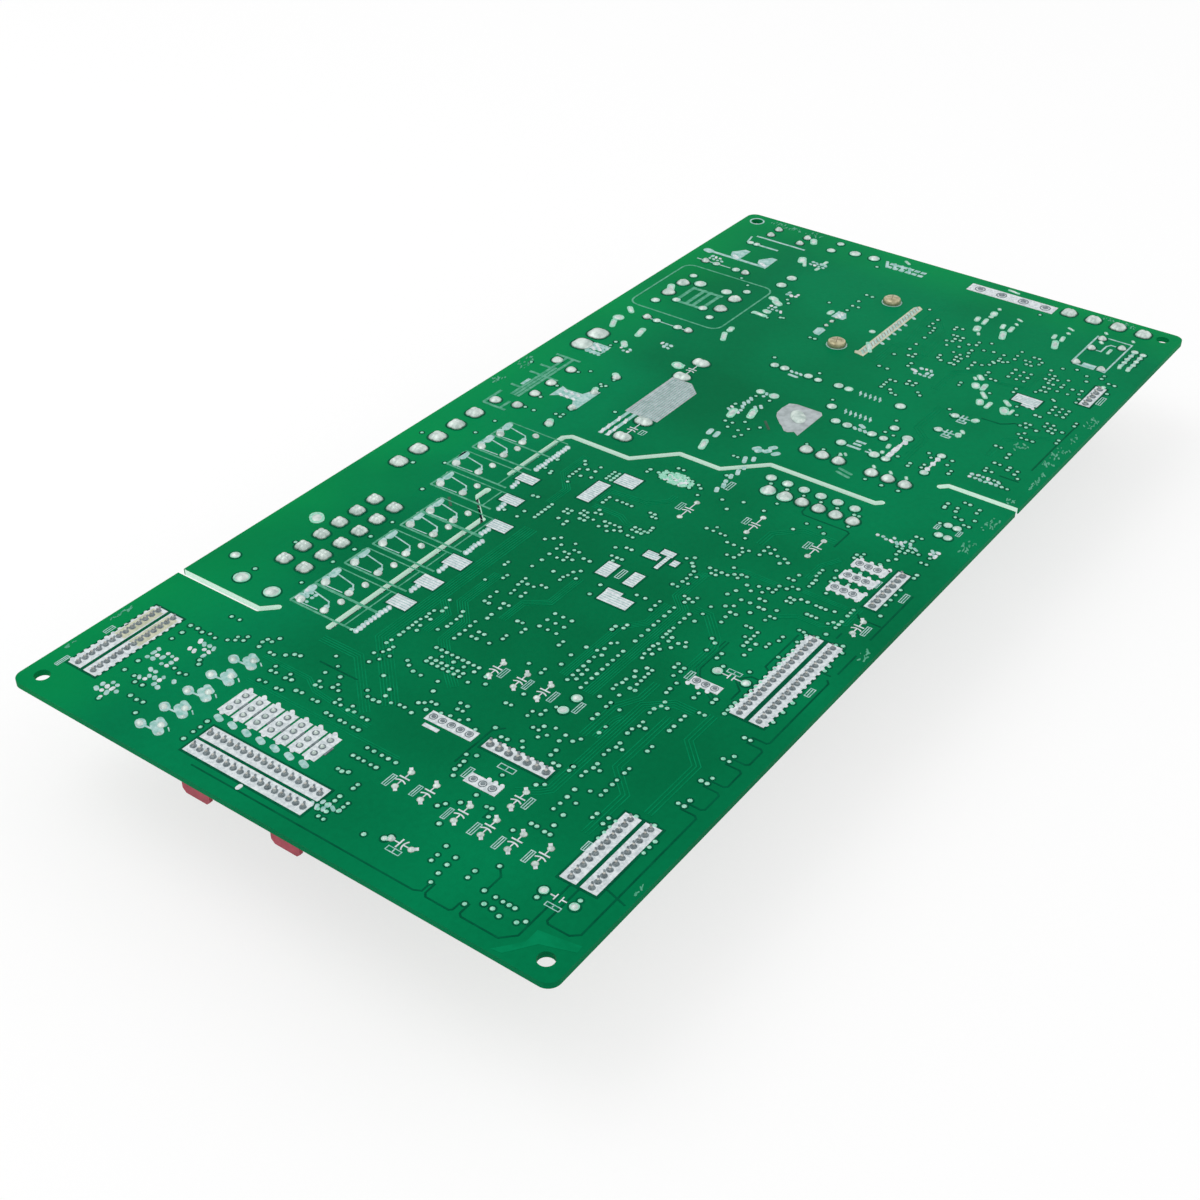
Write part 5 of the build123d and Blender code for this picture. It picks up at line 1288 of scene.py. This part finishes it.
# parts whose leads end under the board, by the places of their leads from their middles
for name, radius, leads in (
    ("fuse", 1.8, ((-14.4, 0), (14.4, 0))),
    ("varistor", 1.65, ((-4, 0), (4, 0))),
    ("thermistor", 1.65, ((-4.75, 0), (4.75, 0))),
    ("bridge_rectifier", 1.3, ((-16, 0), (-5.3, 0), (5.3, 0), (16, 0))),
    ("x_capacitor_1", 1.35, ((0, -7.5), (0, 7.5))),
    ("x_capacitor_2", 1.35, ((0, -7.5), (0, 7.5))),
    ("inrush_relay", 1.35, ((-2.5, -5.5), (2.5, -5.5), (-2.5, 5.5), (2.5, 5.5))),
    ("heater_relay", 1.35, ((-8.8, 4.2), (-8.8, -3.5), (1.8, 4), (9.1, 3.7), (6.8, -3.4))),
):
    cx, cy = (value / MM for value in middle_of(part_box(name))[:2])
    for dx, dy in leads:
        halos.disc(cx + dx, cy + dy, radius + 0.4)
        joints.dome(cx + dx, cy + dy, radius, 1)


# ---- Component side ----


def solids_of(name):
    """The corners of each solid of a node, in millimetres, from left to right."""
    mesh = nodes[name].data
    root = {}

    def find(key):
        while root[key] != key:
            root[key] = root[root[key]]
            key = root[key]
        return key

    keys = [tuple(round(value / MM, 3) for value in vertex.co) for vertex in mesh.vertices]
    for key in keys:
        root[key] = key
    for polygon in mesh.polygons:
        for index in polygon.vertices:
            root[find(keys[index])] = find(keys[polygon.vertices[0]])
    groups = {}
    for key in root:
        groups.setdefault(find(key), []).append(key)
    boxes = [
        (tuple(map(min, zip(*group))), tuple(map(max, zip(*group)))) for group in groups.values()
    ]
    return sorted(boxes)


class Model:
    """A piece put together from turned, swept and moulded shapes. Millimetres."""

    def __init__(self, name, *materials):
        self.name, self.materials = name, materials
        self.mesh = bmesh.new()

    def block(self, low, high, round_off=0.4, index=0):
        """A moulded block with rounded edges."""
        middle = [(a + b) / 2 * MM for a, b in zip(low, high)]
        size = [(b - a) * MM for a, b in zip(low, high)]
        part = bmesh.new()
        bmesh.ops.create_cube(part, size=1)
        for vertex in part.verts:
            vertex.co = Vector(m + c * s for m, c, s in zip(middle, vertex.co, size))
        reach = min(round_off, min(b - a for a, b in zip(low, high)) * 0.45) * MM
        bmesh.ops.bevel(part, geom=part.edges[:], offset=reach, segments=3, profile=0.5,
                        affect="EDGES")
        for face in part.faces:
            face.material_index = index
        mesh = bpy.data.meshes.new("part")
        part.to_mesh(mesh)
        part.free()
        self.mesh.from_mesh(mesh)
        bpy.data.meshes.remove(mesh)

    def _skin(self, rings, index):
        """Faces between rings of corners, and over both ends."""
        made = []
        for low, high in zip(rings, rings[1:]):
            for i in range(len(low)):
                j = (i + 1) % len(low)
                made.append(self.mesh.faces.new((low[i], low[j], high[j], high[i])))
        made += [self.mesh.faces.new(rings[0][::-1]), self.mesh.faces.new(rings[-1])]
        for face in made:
            face.material_index = index

    def turned(self, profile, centre, axis="Z", sides=32, index=0):
        """A profile of (radius, place along the axis) turned about an upright or a Y axis."""
        rings = []
        for radius, along in profile:
            ring = []
            for i in range(sides):
                t = 2 * math.pi * i / sides
                u, v = radius * math.cos(t), radius * math.sin(t)
                point = (u, v, along) if axis == "Z" else (u, along, v)
                place = Vector((c + p) * MM for c, p in zip(centre, point))
                ring.append(self.mesh.verts.new(place))
            rings.append(ring)
        self._skin(rings, index)

    def swept(self, path, radius, sides=8, index=0):
        """A round wire along a path."""
        points = [Vector(p) for p in path]
        rings, normal = [], None
        for before, point, after in zip([points[0], *points], points, [*points[1:], points[-1]]):
            along = (after - before).normalized()
            if normal is None:
                normal = along.orthogonal().normalized()
            normal = (normal - along * normal.dot(along)).normalized()
            across = along.cross(normal)
            rings.append([
                self.mesh.verts.new(MM * (
                    point + radius * (normal * math.cos(t) + across * math.sin(t))
                )) for t in (2 * math.pi * k / sides for k in range(sides))
            ])
        self._skin(rings, index)

    def done(self, *replaced):
        bmesh.ops.recalc_face_normals(self.mesh, faces=self.mesh.faces[:])
        mesh = bpy.data.meshes.new(self.name)
        self.mesh.to_mesh(mesh)
        self.mesh.free()
        for material in self.materials:
            mesh.materials.append(material)
        mesh.shade_smooth()
        mesh.set_sharp_from_angle(angle=math.radians(35))
        piece = settle(self.name, mesh, self.materials[0])
        if replaced:
            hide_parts(*replaced)
        return piece


def spokes(model, cx, cy, z, reach, radius, turns):
    """A level wire through the axis for each direction, in the model's second material."""
    for turn in turns:
        c, s = (share * reach for share in heading(turn))
        model.swept([(cx - c, cy - s, z), (cx + c, cy + s, z)], radius, index=1)


def potted_box(model, low, high, wall, lip, round_off, resin_round_off):
    """A box filled with resin that stands proud of its rim."""
    model.block(low, (high[0], high[1], high[2] - lip), round_off)
    resin_low = (low[0] + wall, low[1] + wall, high[2] - 2 * lip)
    resin_high = (high[0] - wall, high[1] - wall, high[2])
    model.block(resin_low, resin_high, resin_round_off, index=1)


# electrolytic cans: a shrunk sleeve over a rolled aluminium end with a vent cross
for node_name in ("bulk_capacitor_1", "bulk_capacitor_2"):
    can_low, can_high = solids_of(node_name)[0]
    cx, cy = middle_of((can_low, can_high))[:2]
    r = (can_high[0] - can_low[0]) / 2
    can = Model(f"{node_name}_can", dark_sleeve, aluminium, pin_metal, pale_stripe)
    can.turned([
        (r - 1.9, 0.5), (r - 1.6, 0.12), (r - 1.0, 0.0), (r - 0.4, 0.25), (r - 0.05, 0.9),
        (r, 1.6), (r, 27.6), (r - 0.35, 28.2), (r, 28.8), (r - 0.15, 29.5), (r - 0.8, 29.95),
    ], (cx, cy, 0), sides=64)
    can.turned([(r - 1.75, 0.55), (r - 1.75, 0.9)], (cx, cy, 0), sides=64, index=1)
    spokes(can, cx, cy, 0.5, r - 3.4, 0.16, (0, 60, 120))
    for step in range(9):
        z = 4.0 + 2.6 * step
        for side in range(3):
            t = math.radians(200 + 5 * side)
            x, y = cx + r * 0.998 * math.cos(t), cy + r * 0.998 * math.sin(t)
            can.swept([(x, y, z), (x, y, z + 1.5)], 0.22, sides=6, index=3)
    for x in (cx - 5, cx + 5):
        can.block((x - 0.4, cy - 0.75, 29.6), (x + 0.4, cy + 0.75, can_high[2]), 0.2, index=2)
    can.done(node_name)

cans = Model("small_cans", dark_sleeve, aluminium, pale_stripe)
for low, high in solids_of("electrolytic_capacitors"):
    cx, cy = middle_of((low, high))[:2]
    r, z0, z1 = (high[0] - low[0]) / 2, low[2], high[2]
    cans.turned([
        (r - 0.8, z0 + 0.3), (r - 0.65, z0 + 0.05), (r - 0.35, z0), (r - 0.08, z0 + 0.3),
        (r, z0 + 0.8), (r, z1 - 2.4), (r - 0.3, z1 - 1.9), (r, z1 - 1.4), (r, z1 - 0.5),
        (r - 0.3, z1),
    ], (cx, cy, 0), sides=36)
    cans.turned([(r - 0.72, z0 + 0.34), (r - 0.72, z0 + 0.6)], (cx, cy, 0), sides=36, index=1)
    spokes(cans, cx, cy, z0 + 0.3, r - 1.4, 0.12, (45, 135))
    for step in range(4):
        z = z0 + 1.6 + 1.9 * step
        cans.swept([(cx - r * 0.99, cy, z), (cx - r * 0.99, cy, z + 1.1)], 0.2, sides=6, index=2)
cans.done("electrolytic_capacitors")

# relays: a case over a base plate, with a sealing seam, a rim and a vent nib
relay_names = [f"relay_{index + 1}" for index in range(10)]
for node_name, shell in [(name, blue_case) for name in relay_names] + [
    ("heater_relay", black_plastic), ("inrush_relay", black_plastic),
]:
    (x0, y0, z0), (x1, y1, z1) = solids_of(node_name)[0]
    case = Model(f"{node_name}_case", shell, black_plastic)
    case.block((x0, y0, z0), (x1, y1, z1 - 1.3), 0.6)
    case.block((x0 + 0.15, y0 + 0.15, z1 - 1.9), (x1 - 0.15, y1 - 0.15, z1), 0.2, index=1)
    nib_x, nib_y = x0 + 1.7, y1 - 1.9
    case.turned([(0.75, z0 + 0.05), (0.75, z0 + 0.6)], (nib_x, nib_y, 0), sides=16, index=1)
    case.done(node_name)

# film and interference capacitors: potted boxes
films = Model("film_capacitor_boxes", yellow_box, potting)
for low, high in solids_of("film_capacitors"):
    potted_box(films, low, high, 0.4, 0.6, 0.45, 0.15)
films.done("film_capacitors")
for node_name in ("x_capacitor_1", "x_capacitor_2"):
    box = Model(f"{node_name}_box", yellow_box, potting)
    potted_box(box, *solids_of(node_name)[0], 0.5, 0.8, 0.7, 0.2)
    box.done(node_name)


def coated_disc(model, centre, radius, half, lead):
    """A dipped disc on edge: thick in the middle, with coating run down its leads."""
    x, y, z = centre
    model.turned([
        (radius * 0.3, -half), (radius * 0.78, -half * 0.86), (radius * 0.95, -half * 0.5),
        (radius, 0.0), (radius * 0.95, half * 0.5), (radius * 0.78, half * 0.86),
        (radius * 0.3, half),
    ], centre, axis="Y", sides=40)
    for side in (-1, 1):
        lead_x = x + side * lead
        model.swept([(lead_x, y, z + radius * 0.5), (lead_x, y, underside)], 0.35, index=1)
        coat_end = min(z + radius + 1.2, underside - 0.6)
        model.swept([(lead_x, y, z + radius * 0.45), (lead_x, y, coat_end)], 0.75)


for node_name, coat in (("varistor", blue_coating), ("thermistor", green_coating)):
    (x0, y0, z0), (x1, y1, z1) = solids_of(node_name)[0]
    radius = (x1 - x0) / 2
    disc = Model(f"{node_name}_disc", coat, pin_metal)
    coated_disc(disc, ((x0 + x1) / 2, (y0 + y1) / 2, z0 + radius), radius, (y1 - y0) / 2,
                4.0 if node_name == "varistor" else 4.75)
    disc.done(node_name)
discs = Model("y_capacitor_discs", blue_coating, pin_metal)
for (x0, y0, z0), (x1, y1, z1) in solids_of("y_capacitors"):
    radius = min((z1 - z0) / 2, (x1 - x0) / 2)
    coated_disc(discs, ((x0 + x1) / 2, (y0 + y1) / 2, z0 + radius), radius, (y1 - y0) / 2, 3.4)
discs.done("y_capacitors")

# choke: enamelled wire wound round each leg of the core
coils = Model("choke_coils", copper_wire)
for low, high in solids_of("choke_windings"):
    cx, cy, cz = middle_of((low, high))
    gauge = 0.62
    half_x, half_z = (high[0] - low[0]) / 2 - gauge, (high[2] - low[2]) / 2 - gauge
    turns = int((high[1] - low[1] - 2 * gauge) / (2 * gauge * 1.02))
    path, steps = [], 28
    for i in range(turns * steps + 1):
        t = 2 * math.pi * i / steps
        c, s = math.cos(t), math.sin(t)
        flat = (abs(c) ** 5 + abs(s) ** 5) ** (-1 / 5)
        along = low[1] + gauge + (high[1] - low[1] - 2 * gauge) * i / (turns * steps)
        path.append((cx + half_x * c * flat, along, cz + half_z * s * flat))
    coils.swept(path, gauge, sides=8)
coils.done("choke_windings")

# through-hole drivers and the controller: bodies with bent legs
legs = Model("chip_legs", pin_metal)
for low, high in solids_of("driver_ics"):
    cx, cy, cz = middle_of((low, high))
    for side in (-1, 1):
        edge = high[1] if side > 0 else low[1]
        for i in range(7):
            x = cx + (i - 3) * 2.54
            legs.block((x - 0.7, min(edge, edge + side * 0.9), cz - 0.15),
                       (x + 0.7, max(edge, edge + side * 0.9), cz + 0.15), 0.1)
            y = edge + side * 0.75
            legs.block((x - 0.7, y - 0.15, cz), (x + 0.7, y + 0.15, underside - 0.6), 0.1)
            legs.block((x - 0.28, y - 0.14, underside - 1.0), (x + 0.28, y + 0.14, underside), 0.1)
low, high = solids_of("microcontroller")[0]
cx, cy, cz = middle_of((low, high))
for i in range(20):
    along = (i - 9.5) * 0.65
    for side in (-1, 1):
        for flip in (False, True):
            half = (high[0] - low[0]) / 2
            path = [(half - 0.1, cz), (half + 0.35, cz), (half + 0.55, underside - 0.15),
                    (half + 1.1, underside - 0.12)]
            run = []
            for reach, z in path:
                u, v = side * reach, along
                run.append((cx + (v if flip else u), cy + (u if flip else v), z))
            legs.swept(run, 0.12, sides=4)
legs.done()

# screws: a pan head with a cross recess, over the shank; the cross is dark metal in painted shade
screws = Model("pan_head_screws", brassy, recess_shade_metal)
for low, high in solids_of("heatsink_screws"):
    cx, cy = middle_of((low, high))[:2]
    r, head = (high[0] - low[0]) / 2, high[2]
    screws.turned([
        (1.35, low[2]), (1.5, low[2] + 0.3), (1.5, top), (r - 0.15, top), (r, top + 0.2),
        (r, top + 0.7), (r - 0.25, head - 0.5), (r - 0.8, head - 0.16), (r - 1.5, head - 0.04),
        (0.2, head - 0.03),
    ], (cx, cy, 0), sides=40)
    spokes(screws, cx, cy, head - 0.3, 1.5, 0.3, (20, 110))
    worn.ring(cx, cy, r, r + 0.35, sides=32)
screws.done("heatsink_screws")

# parts lying along the board between single pads: wire links, diodes and resistors
axial = Model("axial_parts", pin_metal, black_plastic, resistor_body)
for x0, y0, x1, y1, kind in (  # kind: 0 a wire link, 1 a diode, 2 a resistor
    (42.2, -36.9, 55.0, -36.9, 1), (42.1, -48.4, 52.3, -48.4, 1), (-60.4, -50.1, -60.4, -57.6, 0),
    (-137.4, -60.0, -137.4, -67.4, 0), (-91.9, -30.4, -86.9, -30.4, 0),
    (114.6, 39.4, 120.7, 39.4, 0), (18.1, -65.0, 23.3, -65.0, 2), (18.1, -67.5, 23.3, -67.5, 2),
    (51.6, -16.3, 57.9, -11.4, 0), (69.0, 2.7, 69.0, -7.1, 2), (145.9, 39.5, 152.0, 39.5, 0),
    (122.8, -56.0, 133.2, -56.3, 2), (64.4, -50.2, 73.8, -50.2, 2), (82.6, 65.4, 82.6, 73.0, 0),
):
    drop = 0.6 if kind == 0 else 1.5
    z = underside - drop
    dx, dy = (x1 - x0) * 0.03, (y1 - y0) * 0.03
    axial.swept([
        (x0, y0, underside), (x0, y0, z + 0.3), (x0 + dx, y0 + dy, z), (x1 - dx, y1 - dy, z),
        (x1, y1, z + 0.3), (x1, y1, underside),
    ], 0.3)
    if kind:
        span = math.hypot(x1 - x0, y1 - y0)
        share = min(0.55, 5.2 / span) / 2
        cx, cy, dx, dy = (x0 + x1) / 2, (y0 + y1) / 2, (x1 - x0) * share, (y1 - y0) * share
        axial.swept([(cx - dx, cy - dy, z), (cx + dx, cy + dy, z)], 1.2, sides=16, index=kind)
axial.done()

# print on the component side: an outline round each part, pads and copper under the mask
under_print = Flat("component_print", white_print, layer=3, base=underside, side=-1)
under_copper = Flat("component_copper", trace_light, layer=1, base=underside, side=-1)
under_pads = Flat("component_pads", flux_solder, layer=2, base=underside, side=-1)
headers = ("latching", "sensor", "display", "main", "service", "fan", "damper")
connectors = ("load", "valve", "mains", "compressor")
outlined = [
    *(f"{name}_header_housing" for name in headers),
    *(f"{name}_connector_housing" for name in connectors), *relay_names,
    "heater_relay", "inrush_relay", "x_capacitor_1", "x_capacitor_2", "fuse", "varistor",
    "thermistor", "bridge_rectifier", "choke_base", "transformer_bobbin", "heatsink",
    "y_capacitors", "film_capacitors", "transistors", "driver_ics",
]
for node_name in outlined:
    for (x0, y0, _), (x1, y1, _) in solids_of(node_name):
        under_print.frame(*grown((x0, y0, x1, y1), 0.35), 0.2)
for node_name in ("bulk_capacitor_1", "bulk_capacitor_2", "electrolytic_capacitors"):
    for low, high in solids_of(node_name):
        if high[0] - low[0] < 6:
            continue
        cx, cy = middle_of((low, high))[:2]
        r = (high[0] - low[0]) / 2
        under_print.ring(cx, cy, r + 0.3, r + 0.55, sides=40)
for x, y in vias:
    under_pads.disc(x, y, 0.42, sides=10)
for x, y, radius in silver:
    under_pads.disc(x, y, radius * 0.8, sides=16)
for shift in (-2.4, 3.2):
    for route, count in (
        ([(-130.0, -44.0), (-118.0, -32.0), (-118.0, -8.0), (-100.0, 10.0), (-84.0, 10.0)], 6),
        ([(-84.0, -6.0), (-100.0, -22.0), (-100.0, -50.0), (-112.0, -58.0)], 5),
        ([(-56.0, -10.0), (-46.0, -20.0), (-46.0, -50.0), (-54.0, -58.0)], 6),
        ([(-30.0, -58.0), (-30.0, -30.0), (-20.0, -20.0), (-20.0, 10.0), (-40.0, 18.0)], 5),
        ([(-140.0, 2.0), (-126.0, -12.0), (-126.0, -26.0)], 4),
        ([(-120.0, 50.0), (-112.0, 42.0), (-112.0, 24.0), (-96.0, 12.0)], 5),
    ):
        shifted = [(x + shift * 3, y + shift) for x, y in route]
        bundle(shifted, count, 0.75, width=0.34, flat=under_copper)
for flat in (under_print, under_copper, under_pads):
    flat.done()

for piece in (
    silk, worn, faint, shade, tinned, pads, gaps, halos, ribs, stains, traces, slit_shade, joints, points,
    pin_joints,
):
    if piece.points:
        piece.done()

# ---- Floor, light and camera ----


def seen_directly(tree):
    """1 where the camera, a reflection or a clear surface looks straight at it."""
    seen = add(tree, "ShaderNodeLightPath").outputs
    either = reckon(tree, "MAXIMUM", seen["Is Camera Ray"], seen["Is Glossy Ray"])
    return reckon(tree, "MAXIMUM", either, seen["Is Transmission Ray"])


def floor_material():
    """A plain white floor that keeps a light shadow where the camera or a reflection sees it."""
    material, tree, shader = new_material("floor")
    shader.inputs["Base Color"].default_value = srgb(250, 250, 250)
    shader.inputs["Roughness"].default_value = 0.9
    share = reckon(tree, "MULTIPLY", seen_directly(tree), 0.7)
    mixed_shader(tree, share, shader, add(tree, "ShaderNodeEmission"), "Material Output")
    return material


floor_half = 4.0
corners = [(x * floor_half, y * floor_half, 0) for x, y in ((-1, -1), (1, -1), (1, 1), (-1, 1))]
floor_mesh = mesh_of("floor", corners, [(0, 1, 2, 3)], floor_material())
floor = bpy.data.objects.new("floor", floor_mesh)
floor.location.z = -0.0002
bpy.context.scene.collection.objects.link(floor)

world = bpy.data.worlds.new("studio")
bpy.context.scene.world = world
world.use_nodes = True
tree = world.node_tree
background = tree.nodes["Background"]
background.inputs["Color"].default_value = (1, 1, 1, 1)
background.inputs["Strength"].default_value = 0.74
# beyond the floor the camera, a reflection or glass sees plain white
beyond = add(tree, "ShaderNodeBackground", Color=(1, 1, 1, 1), Strength=1.0)
mixed_shader(tree, seen_directly(tree), background, beyond, "World Output")


def lamp(name, place, aim, size, power):
    light = bpy.data.lights.new(name, "AREA")
    light.shape = "SQUARE"
    light.size = size
    light.energy = power
    lamp_object = bpy.data.objects.new(name, light)
    lamp_object.location = place
    direction = Vector(aim) - Vector(place)
    lamp_object.rotation_euler = direction.to_track_quat("-Z", "Y").to_euler()
    bpy.context.scene.collection.objects.link(lamp_object)


lamp("key", (-0.3, 0.5, 1.1), (0, 0, 0), 0.9, 5.0)
lamp("fill", (0.7, -0.8, 0.9), (0, 0, 0), 0.9, 2.2)

camera_data = bpy.data.cameras.new("camera")
camera_data.sensor_width = 36.0
camera_data.lens = 52.54
camera = bpy.data.objects.new("camera", camera_data)
right = Vector((0.5882, -0.8087, 0.0036))
forward = Vector((0.6530, 0.4724, -0.5920)).normalized()
up = right.cross(forward).normalized()
right = forward.cross(up).normalized()
place = (-0.3254, -0.2091, 0.24587 + board_high[2])
facing = Matrix((right, up, -forward)).transposed().to_4x4()
camera.matrix_world = Matrix.Translation(place) @ facing
bpy.context.scene.collection.objects.link(camera)
bpy.context.scene.camera = camera

bpy.context.scene.view_settings.view_transform = "Standard"
